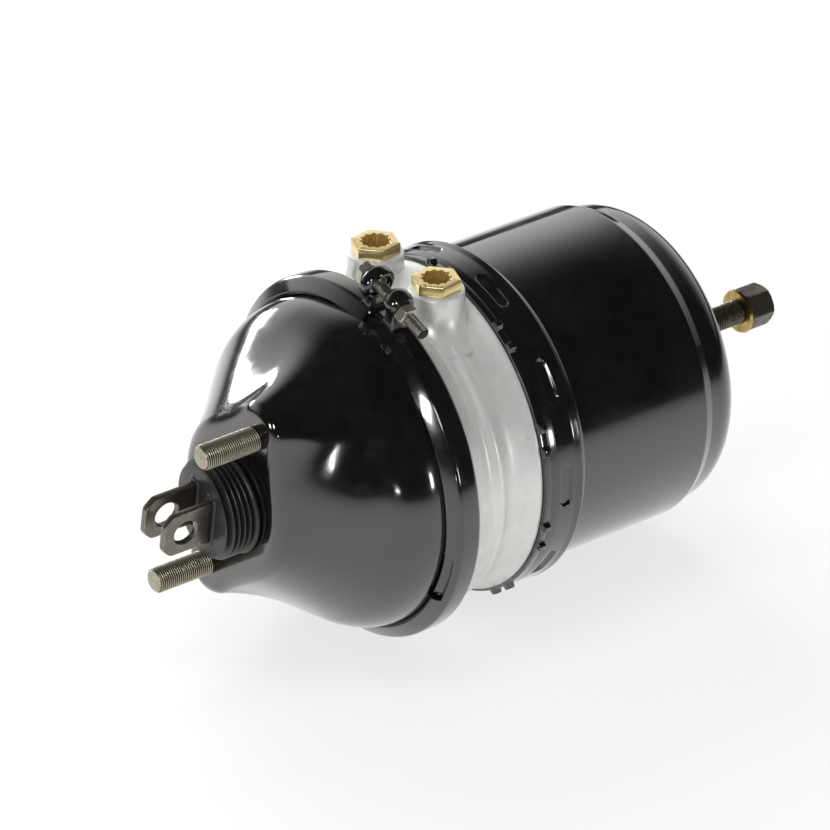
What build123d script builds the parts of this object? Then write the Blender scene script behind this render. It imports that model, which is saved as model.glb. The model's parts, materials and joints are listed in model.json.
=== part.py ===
"""Combined service and spring air brake chamber, modelled as its separate pieces.

Frame: millimetres, +Z up.  The chamber's axis is Y.  The origin is the centre of the mounting face, the two
studs and the fork point to -Y, and the spring cylinder with its release bolt points to +Y.
"""

from build123d import *

import os
from math import atan2, cos, degrees, radians, sin, tan

os.makedirs("parts", exist_ok=True)

# --- Clearances -----------------------------------------------------------------------------------------
running_clearance = 0.05  # radial, for a round piece that turns or slides in another
bolt_clearance = 0.15  # radial, for a stud or screw in its hole
seat_gap = 0.2  # between faces of two pieces that rest on each other
moving_gap = 0.4  # between pieces that move past each other

# --- Mounting face, studs and nose ----------------------------------------------------------------------
stud_spacing = 120.65
stud_diameter = 16.0
stud_shank_diameter = 17.0  # the pressed-in part, inside the housing
stud_reach = 39.5  # out of the mounting face
stud_line_angle = 25.3  # from +Z towards +X
stud_head_diameter = 24.0
stud_head_thickness = 6.0
stud_chamfer = 1.2
nose_length = 170.0  # along the line of the studs
nose_end_radius = 19.0
nose_edge_radius = 5.0
nose_splay = 12.0  # how much wider all round at its back
nose_depth = 50.0  # behind the mounting face, into the dome
rod_opening_radius = 21.0  # in the mounting face
bellows_seat_depth = 1.0  # shallow recess round the opening
backing_plate_margin = 1.0
backing_plate_thickness = 6.0

# --- Service housing ------------------------------------------------------------------------------------
housing_wall = 3.5
dome_front_radius = 41.0
dome_flange_width = 6.0  # side wall to the rim of its flange
dome_depth = 64.3  # mounting face to where flank and side wall would meet
dome_shoulder_radius = 42.0

# --- Clamped joint --------------------------------------------------------------------------------------
clamp_centre = 95.0  # mounting face to the middle of the band
flange_height = 7.5  # clamped flanges above the land beside the band
flange_bend_radius = 3.0
diaphragm_thickness = 4.2
diaphragm_bend = 1.0  # of its wall, either side of the body's rim
body_rim_thickness = 5.7
band_reach = 5.0  # outwards from the rims of the flanges
band_wall = 2.5
band_lip_depth = 8.5  # band's outside to the lips of its flanks
band_flank_angle = 35.0  # degrees, flank against a plane square to the axis

# --- Clamp bolt and lugs --------------------------------------------------------------------------------
lug_angle = 76.5  # from +X towards +Z
lug_gap = 13.0  # between the two band ends
lug_height = 13.0  # bolt axis above the band
clamp_bolt_diameter = 8.0
clamp_bolt_reach = 45.0  # from the middle of the gap to the thread end
clamp_head_across_flats = 13.0
clamp_head_thickness = 5.5
clamp_nut_thickness = 7.0
eye_outer_radius = 11.5
eye_inner_radius = 7.6
eye_length = 9.0
near_lug_radius = 8.5
near_lug_length = 11.0
lug_shoulder = 0.8  # how wide the neck meets the lug, as a share of the lug
lug_neck_width = 14.0

# --- Flange body ----------------------------------------------------------------------------------------
body_land_radius = 104.0  # the land beside the clamp band, which the other round sizes follow
body_waist_depth = 2.4  # below the land
body_shoulder_height = 2.7  # above the land
body_rib_position = 33.5  # clamp centre to the middle of the rib
body_shoulder_step = 0.8  # down to where the spring cylinder sits
body_length = 62.6  # clamp centre to the lock ring
body_land_length = 21.5  # clamp centre to the end of the land beside the band
body_land_step = 1.2
body_rib_height = 2.7  # above the waist
body_rib_half_width = 7.5
body_skirt_length = 30.4  # inside the spring cylinder
body_wall = 4.0
body_groove_lip = 2.0  # straight part in front of the lock ring
bulkhead_setback = 12.0  # rim to the bulkhead
bulkhead_thickness = 12.0
hub_wall = 8.0
hub_length = 50.0

# --- Ports ----------------------------------------------------------------------------------------------
port_offset = 30.4  # each side of the middle plane
port_position = 39.3  # clamp centre to the ports
boss_diameter = 35.0
boss_core_diameter = 31.0  # where the boss reaches into the hollow
boss_height = 12.0  # above the land
boss_edge_chamfer = 1.5
boss_flare_radius = 26.0  # the trumpet-shaped foot
boss_flare_sweep = 62.0  # degrees of that arc
boss_flare_height = 3.0  # above the land, where the foot begins to spread
boss_depth = 20.0  # below the land, where the boss ends inside
boss_web_height = 2.5  # web between the bosses, above the land
boss_web_length = 24.0
passage_depth = 24.0  # cross passage to the service side, below the land
port_hex_across_flats = 27.0
port_hex_height = 7.0
port_hex_turn = 40.0
port_shank_diameter = 22.0
port_shank_length = 12.0
port_bore_diameter = 16.0
port_flute_count = 12
port_flute_depth = 1.6
port_flute_length = 5.0
port_hex_chamfer = 0.5
passage_diameter = 9.0

# --- Lock ring ------------------------------------------------------------------------------------------
lock_ring_width = 5.0
lock_ring_height = 2.9
lock_tooth_height = 3.6
lock_tooth_width = 7.0
lock_tooth_pitch = 8.4  # degrees between the two teeth of a pair
lock_pair_count = 10
lock_pair_start = 18.0  # degrees, from +X towards +Z
lock_tooth_corner = 1.6

# --- Spring cylinder ------------------------------------------------------------------------------------
cylinder_wall = 3.0
cylinder_neck = 4.0  # barrel below the body's shoulder
cylinder_length = 162.0  # front edge to rear face
band_zone_length = 24.3  # the widened front, up to its ridge
ridge_height = 0.9
ridge_slope_length = 5.5
main_barrel_length = 98.0
rear_step = 3.4
rear_draft = 6.2  # rear rim below the barrel
rear_corner_radius = 22.0
cylinder_edge_radius = 1.0  # front edge and ridge
cylinder_bend_radius = 3.0  # behind the ridge
rear_bend_radius = 4.0  # at the rear step
inner_bend_radius = 2.0
dimple_count = 10
dimple_start = -0.5  # degrees, from +X towards +Z
dimple_length = 29.5
dimple_width = 9.0
dimple_depth = 2.0
dimple_position = 11.5  # from the front edge
dimple_lug_height = 1.4
seal_ring_position = 19.5  # from the front edge
seal_ring_section = 3.2
seal_groove_share = 1.4  # groove width for each unit of the ring's section

# --- Spring piston and its tube -------------------------------------------------------------------------
piston_stroke = 57.0
piston_position = 61.8  # body's rear face to the released piston
piston_web = 12.0
piston_rim_length = 20.0
piston_groove_spacing = 3.0  # front face to seal, and seal to guide ring
piston_seal_width = 5.0
piston_seal_depth = 3.6
guide_ring_width = 4.0
guide_ring_depth = 2.4
tube_radius = 22.0
tube_wall = 5.0
tube_seat_depth = 4.0
end_pad_thickness = 3.9
end_pad_plug = 6.0
bush_wall = 2.5
bush_length = 34.0
tube_seal_width = 4.0
power_spring_wire = 12.0
power_spring_radius = 70.0
power_spring_turns = 3.6

# --- Release bolt ---------------------------------------------------------------------------------------
release_bolt_diameter = 16.0
release_bolt_reach = 96.5  # rear face of the cylinder to the end of the hexagon
release_hex_across_flats = 24.0
release_hex_length = 19.0
release_hex_chamfer = 1.0
release_washer_radius = 14.5
release_washer_thickness = 2.5
release_head_radius = 11.0
release_head_thickness = 6.0
thrust_collar_radius = 15.5
thrust_collar_length = 8.0
hex_pin_diameter = 3.5
release_boss_radius = 18.0
release_boss_neck_radius = 12.0
release_boss_depth = 8.0
release_boss_reach = 4.0

# --- Push rod, plate and fork ---------------------------------------------------------------------------
push_plate_radius = 62.0
push_plate_thickness = 4.5
push_plate_rim = 6.0
push_plate_bend = 2.0
rod_diameter = 20.0
fork_turn = 10.0  # degrees about the axis
fork_reach = 59.0  # mounting face to the ear tips
fork_pin_position = 41.5  # mounting face to the pin hole
fork_pin_diameter = 16.0
fork_ear_thickness = 4.5
fork_ear_height = 30.0
fork_gap = 15.5
fork_corner = 8.0
fork_base_position = 8.0  # mounting face to the back of the base
fork_base_thickness = 6.0
fork_base_corner = 1.5
return_spring_wire = 5.0
return_spring_radius = 27.0
return_spring_turns = 6

# --- Bellows --------------------------------------------------------------------------------------------
bellows_length = 26.0
bellows_radius = 33.0
bellows_wall = 2.2
bellows_fold_depth = 3.2
bellows_fold_count = 4
bellows_bead_length = 6.0
bellows_seat_clearance = 0.5  # radial, bellows in its recess
bellows_bead_bevel = 1.0
retainer_radius = 28.0
retainer_wall = 2.0
retainer_bore_wall = 2.2

# --- Places and radii worked out from the sizes above -------------------------------------------------
body_waist_radius = body_land_radius - body_waist_depth
body_shoulder_radius = body_land_radius + body_shoulder_height
flange_radius = body_land_radius + flange_height
dome_radius = flange_radius - dome_flange_width
band_radius = flange_radius + band_reach
band_lip_radius = band_radius - band_lip_depth
cylinder_radius = body_shoulder_radius - cylinder_neck
rear_radius = cylinder_radius - rear_draft
boss_top = body_land_radius + boss_height
boss_flare_start = body_land_radius + boss_flare_height
boss_foot = body_land_radius - boss_depth
boss_web_top = body_land_radius + boss_web_height
passage_height = body_land_radius - passage_depth
diaphragm_bead = diaphragm_thickness
stack_width = housing_wall + diaphragm_bead + body_rim_thickness + 2 * seat_gap
flange_front = clamp_centre - stack_width / 2
flange_rear = flange_front + housing_wall
diaphragm_front = flange_rear + seat_gap
body_front = diaphragm_front + diaphragm_bead + seat_gap
body_rim_rear = body_front + body_rim_thickness
bulkhead_front = body_front + bulkhead_setback
body_shoulder = clamp_centre + body_length
cylinder_front = body_shoulder + lock_ring_width + 2 * seat_gap
body_rear = body_shoulder + body_skirt_length
bulkhead_rear = bulkhead_front + bulkhead_thickness
cylinder_rear = cylinder_front + cylinder_length
piston_front = body_rear + piston_position
tube_rear = piston_front + tube_seat_depth
pad_front = bulkhead_front - seat_gap
tube_front = pad_front + end_pad_thickness
diaphragm_rear = pad_front - moving_gap
diaphragm_face = diaphragm_rear - diaphragm_thickness
plate_rear = diaphragm_face - seat_gap
plate_front = plate_rear - push_plate_thickness
backing_front = housing_wall + seat_gap
backing_rear = backing_front + backing_plate_thickness
cylinder_seat_radius = body_shoulder_radius - body_shoulder_step
cylinder_front_bore = cylinder_seat_radius + seat_gap
cylinder_front_radius = cylinder_front_bore + cylinder_wall
lock_ring_radius = cylinder_front_bore + lock_ring_height
cylinder_bore = cylinder_radius - cylinder_wall
ridge_position = cylinder_front + band_zone_length
barrel_front = ridge_position + ridge_slope_length
barrel_rear = barrel_front + main_barrel_length
cylinder_floor = cylinder_rear - cylinder_wall
thrust_rear = tube_rear - moving_gap
thrust_front = thrust_rear - thrust_collar_length
release_end = cylinder_rear + release_bolt_reach
release_hex_front = release_end - release_hex_length
port_y = clamp_centre + port_position
hub_bore_radius = tube_radius + bush_wall
hub_rear = bulkhead_front + hub_length
pocket_radius = body_waist_radius - body_wall
body_land_end = clamp_centre + body_land_length
body_land_front = body_rim_rear + (flange_radius - body_land_radius) * tan(radians(band_flank_angle))
body_rib_y = clamp_centre + body_rib_position
dimple_y = cylinder_front + dimple_position
groove_front = dimple_y - dimple_width / 2 - seat_gap
groove_rear = dimple_y + dimple_width / 2 + seat_gap
dimple_lug_radius = cylinder_front_bore - dimple_lug_height
dimple_groove_depth = dimple_lug_height + seat_gap
seal_y = cylinder_front + seal_ring_position
seal_groove_width = seal_ring_section * seal_groove_share
seal_groove_radius = cylinder_front_bore - seal_ring_section - 2 * running_clearance
bush_front = bulkhead_front + (hub_length - bush_length) / 2
seal_front = piston_front + piston_groove_spacing
guide_front = seal_front + piston_seal_width + piston_groove_spacing
release_clear_radius = release_bolt_diameter / 2 + moving_gap
diaphragm_wall_radius = body_land_radius - body_wall / 2 - seat_gap
diaphragm_crown = diaphragm_wall_radius - 3 * diaphragm_thickness
fork_pin_turn = radians(fork_turn)
fork_pin_direction = (cos(fork_pin_turn), 0, -sin(fork_pin_turn))
fork_pin_plane = Plane(origin=(0, -fork_pin_position, 0), z_dir=fork_pin_direction)
hex_pin_plane = Plane(origin=(0, release_hex_front + release_hex_length / 2, 0), z_dir=(0, 0, 1))
fork_ear_offset = (fork_gap + fork_ear_thickness) / 2
retainer_bore = rod_opening_radius - seat_gap - retainer_bore_wall
bellows_seat_radius = bellows_radius + bellows_seat_clearance
bellows_base = bellows_seat_depth - seat_gap
lug_radius = band_radius + lug_height
band_flank_slope = tan(radians(band_flank_angle))  # along the axis for each unit outwards
inner_lip_radius = band_lip_radius - band_wall * sin(radians(band_flank_angle))
inner_lip_half_width = stack_width / 2 + seat_gap + (flange_radius - inner_lip_radius) * band_flank_slope
band_half_width = inner_lip_half_width + band_wall * cos(radians(band_flank_angle))
band_flat = 2 * (band_half_width - (band_radius - band_lip_radius) * band_flank_slope)
inner_band_radius = band_radius - band_wall
inner_flat_half_width = inner_lip_half_width - (inner_band_radius - inner_lip_radius) * band_flank_slope


def across(y):
    """A plane square to the axis at y: first direction +X, second direction +Z, normal -Y."""
    return Plane.XZ.offset(-y)


def radial_plane(angle, radius, y):
    """A plane that touches a cylinder about the axis: normal outwards, second direction +Y."""
    out = Vector(cos(radians(angle)), 0, sin(radians(angle)))
    along = Vector(sin(radians(angle)), 0, -cos(radians(angle)))
    return Plane(origin=out * radius + Vector(0, y, 0), x_dir=-along, z_dir=out)


def lug_plane(along):
    """A plane square to the clamp bolt, this far along it from the middle of the gap."""
    out = Vector(cos(radians(lug_angle)), 0, sin(radians(lug_angle)))
    bolt = Vector(sin(radians(lug_angle)), 0, -cos(radians(lug_angle)))
    centre = out * lug_radius + bolt * along + Vector(0, clamp_centre, 0)
    return Plane(origin=centre, x_dir=(0, 1, 0), z_dir=bolt)


def stud_place(distance):
    """The point at this distance from the axis on the line of the studs, in a plane made by across()."""
    return (distance * sin(radians(stud_line_angle)), distance * cos(radians(stud_line_angle)))


def fork_plane(y):
    """The plane at y square to the axis, turned with the fork: its first direction is the fork pin's."""
    turn = radians(fork_turn)
    return Plane(origin=(0, y, 0), x_dir=(cos(turn), 0, -sin(turn)), z_dir=(0, -1, 0))


def finish(piece, label):
    """Labels a finished piece and writes its file."""
    piece.part.label = label
    export_step(piece.part, f"parts/{label}.step")


# --- Service housing: a deep-drawn dome with a raised oval nose ---------------------------------------
flank_angle = degrees(atan2(dome_depth, dome_radius - dome_front_radius))
inner_front_radius = dome_front_radius - housing_wall * tan(radians(flank_angle / 2))
inner_dome_radius = dome_radius - housing_wall
inner_dome_depth = dome_depth + housing_wall * tan(radians(45 - flank_angle / 2))
nose_end = nose_length / 2 - nose_end_radius


def nose_block(front, inset, edge_radius):
    """The raised oval that carries the studs: hulls of three circles, drawn in by inset, wider behind."""
    with BuildPart() as block:
        for y, growth in ((front, -inset), (nose_depth, nose_splay - inset)):
            with BuildSketch(across(y)):
                with Locations(stud_place(nose_end), stud_place(-nose_end)):
                    Circle(nose_end_radius + growth)
                Circle(dome_front_radius - nose_edge_radius + growth)
                make_hull()
        loft()
        fillet(block.faces().sort_by(Axis.Y)[0].edges(), radius=edge_radius)
    return block.part


with BuildPart() as service_housing:
    with BuildSketch(Plane.XY):
        with BuildLine():
            FilletPolyline(
                (0, 0),
                (dome_front_radius, 0),
                (dome_radius, dome_depth),
                (dome_radius, flange_front),
                (flange_radius, flange_front),
                radius=[nose_edge_radius, dome_shoulder_radius, flange_bend_radius],
            )
            Line((flange_radius, flange_front), (flange_radius, flange_rear))
            Polyline((flange_radius, flange_rear), (0, flange_rear), (0, 0))
        make_face()
    revolve(axis=Axis.Y)
    add(nose_block(0, 0, nose_edge_radius))
    with BuildSketch(Plane.XY):
        with BuildLine():
            FilletPolyline(
                (0, housing_wall),
                (inner_front_radius, housing_wall),
                (inner_dome_radius, inner_dome_depth),
                (inner_dome_radius, flange_rear),
                radius=[nose_edge_radius - housing_wall, dome_shoulder_radius - housing_wall],
            )
            Polyline((inner_dome_radius, flange_rear), (0, flange_rear), (0, housing_wall))
        make_face()
    revolve(axis=Axis.Y, mode=Mode.SUBTRACT)
    add(nose_block(housing_wall, housing_wall, nose_edge_radius - housing_wall), mode=Mode.SUBTRACT)
    with BuildSketch(across(0)):
        Circle(rod_opening_radius)
        with Locations(stud_place(stud_spacing / 2), stud_place(-stud_spacing / 2)):
            Circle(stud_shank_diameter / 2 + bolt_clearance)
    extrude(amount=-2 * housing_wall, mode=Mode.SUBTRACT)
    with BuildSketch(across(0)):
        Circle(bellows_seat_radius)
    extrude(amount=-bellows_seat_depth, mode=Mode.SUBTRACT)
finish(service_housing, "service_housing")

# --- Studs, each with its pressed-in shank and head, and the plate inside the nose that they hold ----
with BuildPart() as mounting_studs:
    with BuildSketch(across(-stud_reach)):
        with Locations(stud_place(stud_spacing / 2), stud_place(-stud_spacing / 2)):
            Circle(stud_diameter / 2)
    extrude(amount=-stud_reach)
    chamfer(mounting_studs.edges().group_by(Axis.Y)[0], length=stud_chamfer)
    with BuildSketch(across(0)):
        with Locations(stud_place(stud_spacing / 2), stud_place(-stud_spacing / 2)):
            Circle(stud_shank_diameter / 2)
    extrude(amount=-(backing_rear + seat_gap))
    with BuildSketch(across(backing_rear + seat_gap)):
        with Locations(stud_place(stud_spacing / 2), stud_place(-stud_spacing / 2)):
            Circle(stud_head_diameter / 2)
    extrude(amount=-stud_head_thickness)
finish(mounting_studs, "mounting_studs")

with BuildPart() as stud_backing_plate:
    with BuildSketch(across(backing_front)):
        with Locations(stud_place(nose_end), stud_place(-nose_end)):
            Circle(nose_end_radius - 2 * housing_wall)
        Circle(dome_front_radius - nose_edge_radius - housing_wall - backing_plate_margin)
        make_hull()
        Circle(rod_opening_radius, mode=Mode.SUBTRACT)
        with Locations(stud_place(stud_spacing / 2), stud_place(-stud_spacing / 2)):
            Circle(stud_shank_diameter / 2 + bolt_clearance, mode=Mode.SUBTRACT)
    extrude(amount=-backing_plate_thickness)
finish(stud_backing_plate, "stud_backing_plate")

# --- Clamp band: a rolled V-section with a lug at each end ---------------------------------------------
def lug_shape(outer_radius, hole_radius):
    """A lug seen along the clamp bolt: a ring round it, and a neck that runs down to the band."""
    neck_foot = -lug_height - band_wall / 2
    with BuildSketch() as shape:
        with BuildLine():
            Polyline(
                (-lug_neck_width / 2, neck_foot),
                (lug_neck_width / 2, neck_foot),
                (outer_radius * lug_shoulder, 0),
                (-outer_radius * lug_shoulder, 0),
                (-lug_neck_width / 2, neck_foot),
            )
        make_face()
        Circle(outer_radius)
        Circle(hole_radius, mode=Mode.SUBTRACT)
    return shape.sketch


with BuildPart() as clamp_band:
    with BuildSketch(Plane.XY):
        with BuildLine():
            FilletPolyline(
                (band_lip_radius, clamp_centre - band_half_width),
                (band_radius, clamp_centre - band_flat / 2),
                (band_radius, clamp_centre + band_flat / 2),
                (band_lip_radius, clamp_centre + band_half_width),
                radius=[band_wall * 1.2, band_wall * 1.2],
            )
            FilletPolyline(
                (band_lip_radius, clamp_centre + band_half_width),
                (inner_lip_radius, clamp_centre + inner_lip_half_width),
                (inner_band_radius, clamp_centre + inner_flat_half_width),
                (inner_band_radius, clamp_centre - inner_flat_half_width),
                (inner_lip_radius, clamp_centre - inner_lip_half_width),
                (band_lip_radius, clamp_centre - band_half_width),
                radius=[0, band_wall * 0.2, band_wall * 0.2, 0],
            )
        make_face()
    revolve(axis=Axis.Y)
    with BuildSketch(lug_plane(-lug_gap / 2)):
        with Locations((0, -lug_height - band_wall)):
            Rectangle(4 * band_flat, 4 * lug_height)
    extrude(amount=lug_gap, mode=Mode.SUBTRACT)
    with BuildSketch(lug_plane(-lug_gap / 2)):
        add(lug_shape(eye_outer_radius, eye_inner_radius))
    extrude(amount=-eye_length)
    with BuildSketch(lug_plane(lug_gap / 2)):
        add(lug_shape(near_lug_radius, clamp_bolt_diameter / 2 + bolt_clearance))
    extrude(amount=near_lug_length)
finish(clamp_band, "clamp_band")

# --- Clamp bolt and nut ---------------------------------------------------------------------------------
with BuildPart() as clamp_bolt:
    with BuildSketch(lug_plane(-lug_gap / 2 - eye_length - seat_gap)):
        RegularPolygon(clamp_head_across_flats / 2, 6, major_radius=False)
    extrude(amount=-clamp_head_thickness)
    with BuildSketch(lug_plane(-lug_gap / 2 - eye_length - seat_gap)):
        Circle(clamp_bolt_diameter / 2)
    extrude(amount=clamp_bolt_reach + lug_gap / 2 + eye_length + seat_gap)
finish(clamp_bolt, "clamp_bolt")

with BuildPart() as clamp_nut:
    with BuildSketch(lug_plane(lug_gap / 2 + near_lug_length + seat_gap)):
        RegularPolygon(clamp_head_across_flats / 2, 6, major_radius=False)
        Circle(clamp_bolt_diameter / 2 + running_clearance, mode=Mode.SUBTRACT)
    extrude(amount=clamp_nut_thickness)
finish(clamp_nut, "clamp_nut")

# --- Flange body: the casting between the two chambers, with its hub and two port bosses ---------------
def port_boss(x):
    """A round port boss with a trumpet-shaped foot, kept outside the body's hollow."""
    with BuildPart() as boss:
        with BuildSketch(across(port_y)):
            with BuildLine():
                arc_centre = (x + boss_diameter / 2 + boss_flare_radius, boss_flare_start)
                arc = CenterArc(arc_centre, boss_flare_radius, 180, boss_flare_sweep)
                Polyline(arc @ 1, (x, (arc @ 1).Y), (x, boss_top), (x + boss_diameter / 2, boss_top), arc @ 0)
            make_face()
        revolve(axis=Axis((x, port_y, 0), (0, 0, 1)))
        chamfer(boss.edges().group_by(Axis.Z)[-1], length=boss_edge_chamfer)
        with BuildSketch(across(0)):
            Circle(body_waist_radius - body_wall / 2)
        extrude(amount=-body_rear, mode=Mode.SUBTRACT)
    return boss.part


with BuildPart() as boss_web:
    with BuildSketch(Plane.XY.offset(boss_web_top)):
        with Locations((0, port_y)):
            Rectangle(2 * port_offset, boss_web_length)
    extrude(amount=-(boss_web_top - boss_foot))
    with BuildSketch(across(0)):
        Circle(body_waist_radius - body_wall / 2)
    extrude(amount=-body_rear, mode=Mode.SUBTRACT)

with BuildPart() as flange_body:
    with BuildSketch(Plane.XY):
        with BuildLine():
            Polyline(
                (hub_bore_radius, bulkhead_front),
                (body_land_radius - 3 * body_wall, bulkhead_front),
                (body_land_radius - body_wall / 2, bulkhead_front - 2 * body_wall),
                (body_land_radius - body_wall / 2, body_front),
                (flange_radius, body_front),
                (flange_radius, body_rim_rear),
                (body_land_radius, body_land_front),
                (body_land_radius, body_land_end),
                (body_land_radius - body_land_step, body_land_end + body_land_step),
            )
            ThreePointArc(
                (body_land_radius - body_land_step, body_land_end + body_land_step),
                (body_waist_radius, (body_land_end + body_rib_y) / 2),
                (body_waist_radius + body_rib_height, body_rib_y),
            )
            ThreePointArc(
                (body_waist_radius + body_rib_height, body_rib_y),
                (body_waist_radius, body_rib_y + body_rib_half_width),
                (body_waist_radius + body_rib_height, body_rib_y + 2 * body_rib_half_width),
            )
            Polyline(
                (body_waist_radius + body_rib_height, body_rib_y + 2 * body_rib_half_width),
                (body_shoulder_radius, body_shoulder - body_groove_lip),
                (body_shoulder_radius, body_shoulder),
                (cylinder_seat_radius, body_shoulder),
                (cylinder_seat_radius, groove_front),
                (cylinder_seat_radius - dimple_groove_depth, groove_front),
                (cylinder_seat_radius - dimple_groove_depth, groove_rear),
                (cylinder_seat_radius, groove_rear),
                (cylinder_seat_radius, seal_y - seal_groove_width / 2),
                (seal_groove_radius, seal_y - seal_groove_width / 2),
                (seal_groove_radius, seal_y + seal_groove_width / 2),
                (cylinder_seat_radius, seal_y + seal_groove_width / 2),
                (cylinder_seat_radius, body_rear),
                (pocket_radius, body_rear),
                (pocket_radius, bulkhead_rear),
                (hub_bore_radius + hub_wall, bulkhead_rear),
                (hub_bore_radius + hub_wall, hub_rear),
                (hub_bore_radius, hub_rear),
                (hub_bore_radius, bulkhead_front),
            )
        make_face()
    revolve(axis=Axis.Y)
    add(port_boss(port_offset))
    add(port_boss(-port_offset))
    add(boss_web.part)
    with BuildSketch(Plane.XY.offset(boss_flare_start)):
        with Locations((port_offset, port_y), (-port_offset, port_y)):
            Circle(boss_core_diameter / 2)
    extrude(amount=-(boss_flare_start - boss_foot))
    with BuildSketch(across(bulkhead_rear)):
        with Locations((-port_offset, passage_height)):
            Circle(passage_diameter)
    extrude(amount=-(port_y - bulkhead_rear))
    with BuildSketch(Plane.XY.offset(boss_top)):
        with Locations((port_offset, port_y), (-port_offset, port_y)):
            Circle(port_shank_diameter / 2 + running_clearance)
    extrude(amount=-(port_shank_length + seat_gap), mode=Mode.SUBTRACT)
    with BuildSketch(Plane.XY.offset(boss_top)):
        with Locations((port_offset, port_y)):
            Circle(passage_diameter / 2)
    extrude(amount=-(boss_top - boss_foot), mode=Mode.SUBTRACT)
    with BuildSketch(Plane.XY.offset(boss_top)):
        with Locations((-port_offset, port_y)):
            Circle(passage_diameter / 2)
    extrude(amount=-(boss_top - passage_height), mode=Mode.SUBTRACT)
    with BuildSketch(across(bulkhead_front)):
        with Locations((-port_offset, passage_height)):
            Circle(passage_diameter / 2)
    extrude(amount=-(port_y - bulkhead_front), mode=Mode.SUBTRACT)
finish(flange_body, "flange_body")


def port_fitting(x):
    """A brass threaded insert: a hexagon on the boss, a shank in it, and a fluted mouth over its bore."""
    with BuildPart() as fitting:
        with BuildSketch(Plane.XY.offset(boss_top)):
            with Locations(Location((x, port_y, 0), (0, 0, port_hex_turn))):
                RegularPolygon(port_hex_across_flats / 2, 6, major_radius=False)
        extrude(amount=port_hex_height)
        chamfer(fitting.faces().sort_by(Axis.Z)[-1].edges(), length=port_hex_chamfer)
        with BuildSketch(Plane.XY.offset(boss_top)):
            with Locations((x, port_y)):
                Circle(port_shank_diameter / 2)
        extrude(amount=-port_shank_length)
        with BuildSketch(Plane.XY.offset(boss_top - port_shank_length)):
            with Locations((x, port_y)):
                Circle(port_bore_diameter / 2)
        extrude(amount=port_shank_length + port_hex_height, mode=Mode.SUBTRACT)
        with BuildSketch(Plane.XY.offset(boss_top + port_hex_height)):
            with Locations((x, port_y)):
                with PolarLocations(port_bore_diameter / 2, port_flute_count):
                    Circle(port_flute_depth)
        extrude(amount=-port_flute_length, mode=Mode.SUBTRACT)
    return fitting


finish(port_fitting(-port_offset), "service_port_fitting")
finish(port_fitting(port_offset), "spring_port_fitting")

# --- Lock ring with its pairs of teeth ----------------------------------------------------------------
with BuildPart() as lock_ring:
    with BuildSketch(across(body_shoulder + seat_gap)):
        Circle(lock_ring_radius)
        Circle(cylinder_front_bore, mode=Mode.SUBTRACT)
        for pair in range(lock_pair_count):
            for side in (-0.5, 0.5):
                angle = lock_pair_start + 360 / lock_pair_count * pair + side * lock_tooth_pitch
                foot = Vector(lock_ring_radius, 0, 0).rotate(Axis.Z, angle)
                with Locations(Location(foot, (0, 0, angle))):
                    RectangleRounded(2 * lock_tooth_height, lock_tooth_width, lock_tooth_corner)
        Circle(cylinder_front_bore, mode=Mode.SUBTRACT)
    extrude(amount=-lock_ring_width)
finish(lock_ring, "lock_ring")

# --- Spring cylinder: a deep-drawn can, pressed into the body's groove at ten places ------------------
dimple_angles = [dimple_start + 360 / dimple_count * k for k in range(dimple_count)]


def dimple_tools(shrink, inner_radius, outer_radius):
    """Obround blocks at the dimples, cut to lie between two radii, and smaller all round by shrink."""
    planes = [radial_plane(angle, inner_radius - cylinder_wall, dimple_y) for angle in dimple_angles]
    with BuildPart() as tools:
        with BuildSketch(*planes):
            SlotOverall(dimple_length - 2 * shrink, dimple_width - 2 * shrink)
        extrude(amount=outer_radius - inner_radius + 2 * cylinder_wall)
        with BuildSketch(across(cylinder_front)):
            Circle(outer_radius)
            Circle(inner_radius, mode=Mode.SUBTRACT)
        extrude(amount=-2 * dimple_position, mode=Mode.INTERSECT)
    return tools.part


with BuildPart() as spring_cylinder:
    with BuildSketch(Plane.XY):
        with BuildLine():
            FilletPolyline(
                (cylinder_front_bore, cylinder_front),
                (cylinder_front_radius, cylinder_front),
                (cylinder_front_radius, ridge_position - ridge_slope_length),
                (cylinder_front_radius + ridge_height, ridge_position - ridge_height),
                (cylinder_radius, barrel_front),
                (cylinder_radius, barrel_rear),
                (cylinder_radius - rear_step, barrel_rear + 2 * rear_step),
                (rear_radius, cylinder_rear),
                (0, cylinder_rear),
                radius=[
                    *[cylinder_edge_radius] * 3, cylinder_bend_radius, *[rear_bend_radius] * 2, rear_corner_radius,
                ],
            )
            FilletPolyline(
                (0, cylinder_rear),
                (0, cylinder_floor),
                (rear_radius - cylinder_wall, cylinder_floor),
                (cylinder_bore - rear_step, barrel_rear + 2 * rear_step),
                (cylinder_bore, barrel_rear),
                (cylinder_bore, barrel_front - cylinder_wall),
                (cylinder_front_bore, body_rear + seat_gap),
                (cylinder_front_bore, cylinder_front),
                radius=[0, rear_corner_radius - cylinder_wall, *[inner_bend_radius] * 3, 0],
            )
        make_face()
    revolve(axis=Axis.Y)
    add(dimple_tools(0, cylinder_front_radius - dimple_depth, cylinder_front_radius + cylinder_wall),
        mode=Mode.SUBTRACT)
    add(dimple_tools(cylinder_wall / 2, dimple_lug_radius, cylinder_front_bore + seat_gap))
    with BuildSketch(across(cylinder_floor)):
        Circle(release_boss_neck_radius + running_clearance)
    extrude(amount=-2 * cylinder_wall, mode=Mode.SUBTRACT)
finish(spring_cylinder, "spring_cylinder")

with BuildPart() as cylinder_seal:
    with BuildSketch(Plane.XY):
        with Locations((seal_groove_radius + seal_ring_section / 2 + running_clearance, seal_y)):
            Circle(seal_ring_section / 2)
    revolve(axis=Axis.Y)
finish(cylinder_seal, "cylinder_seal")

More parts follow.
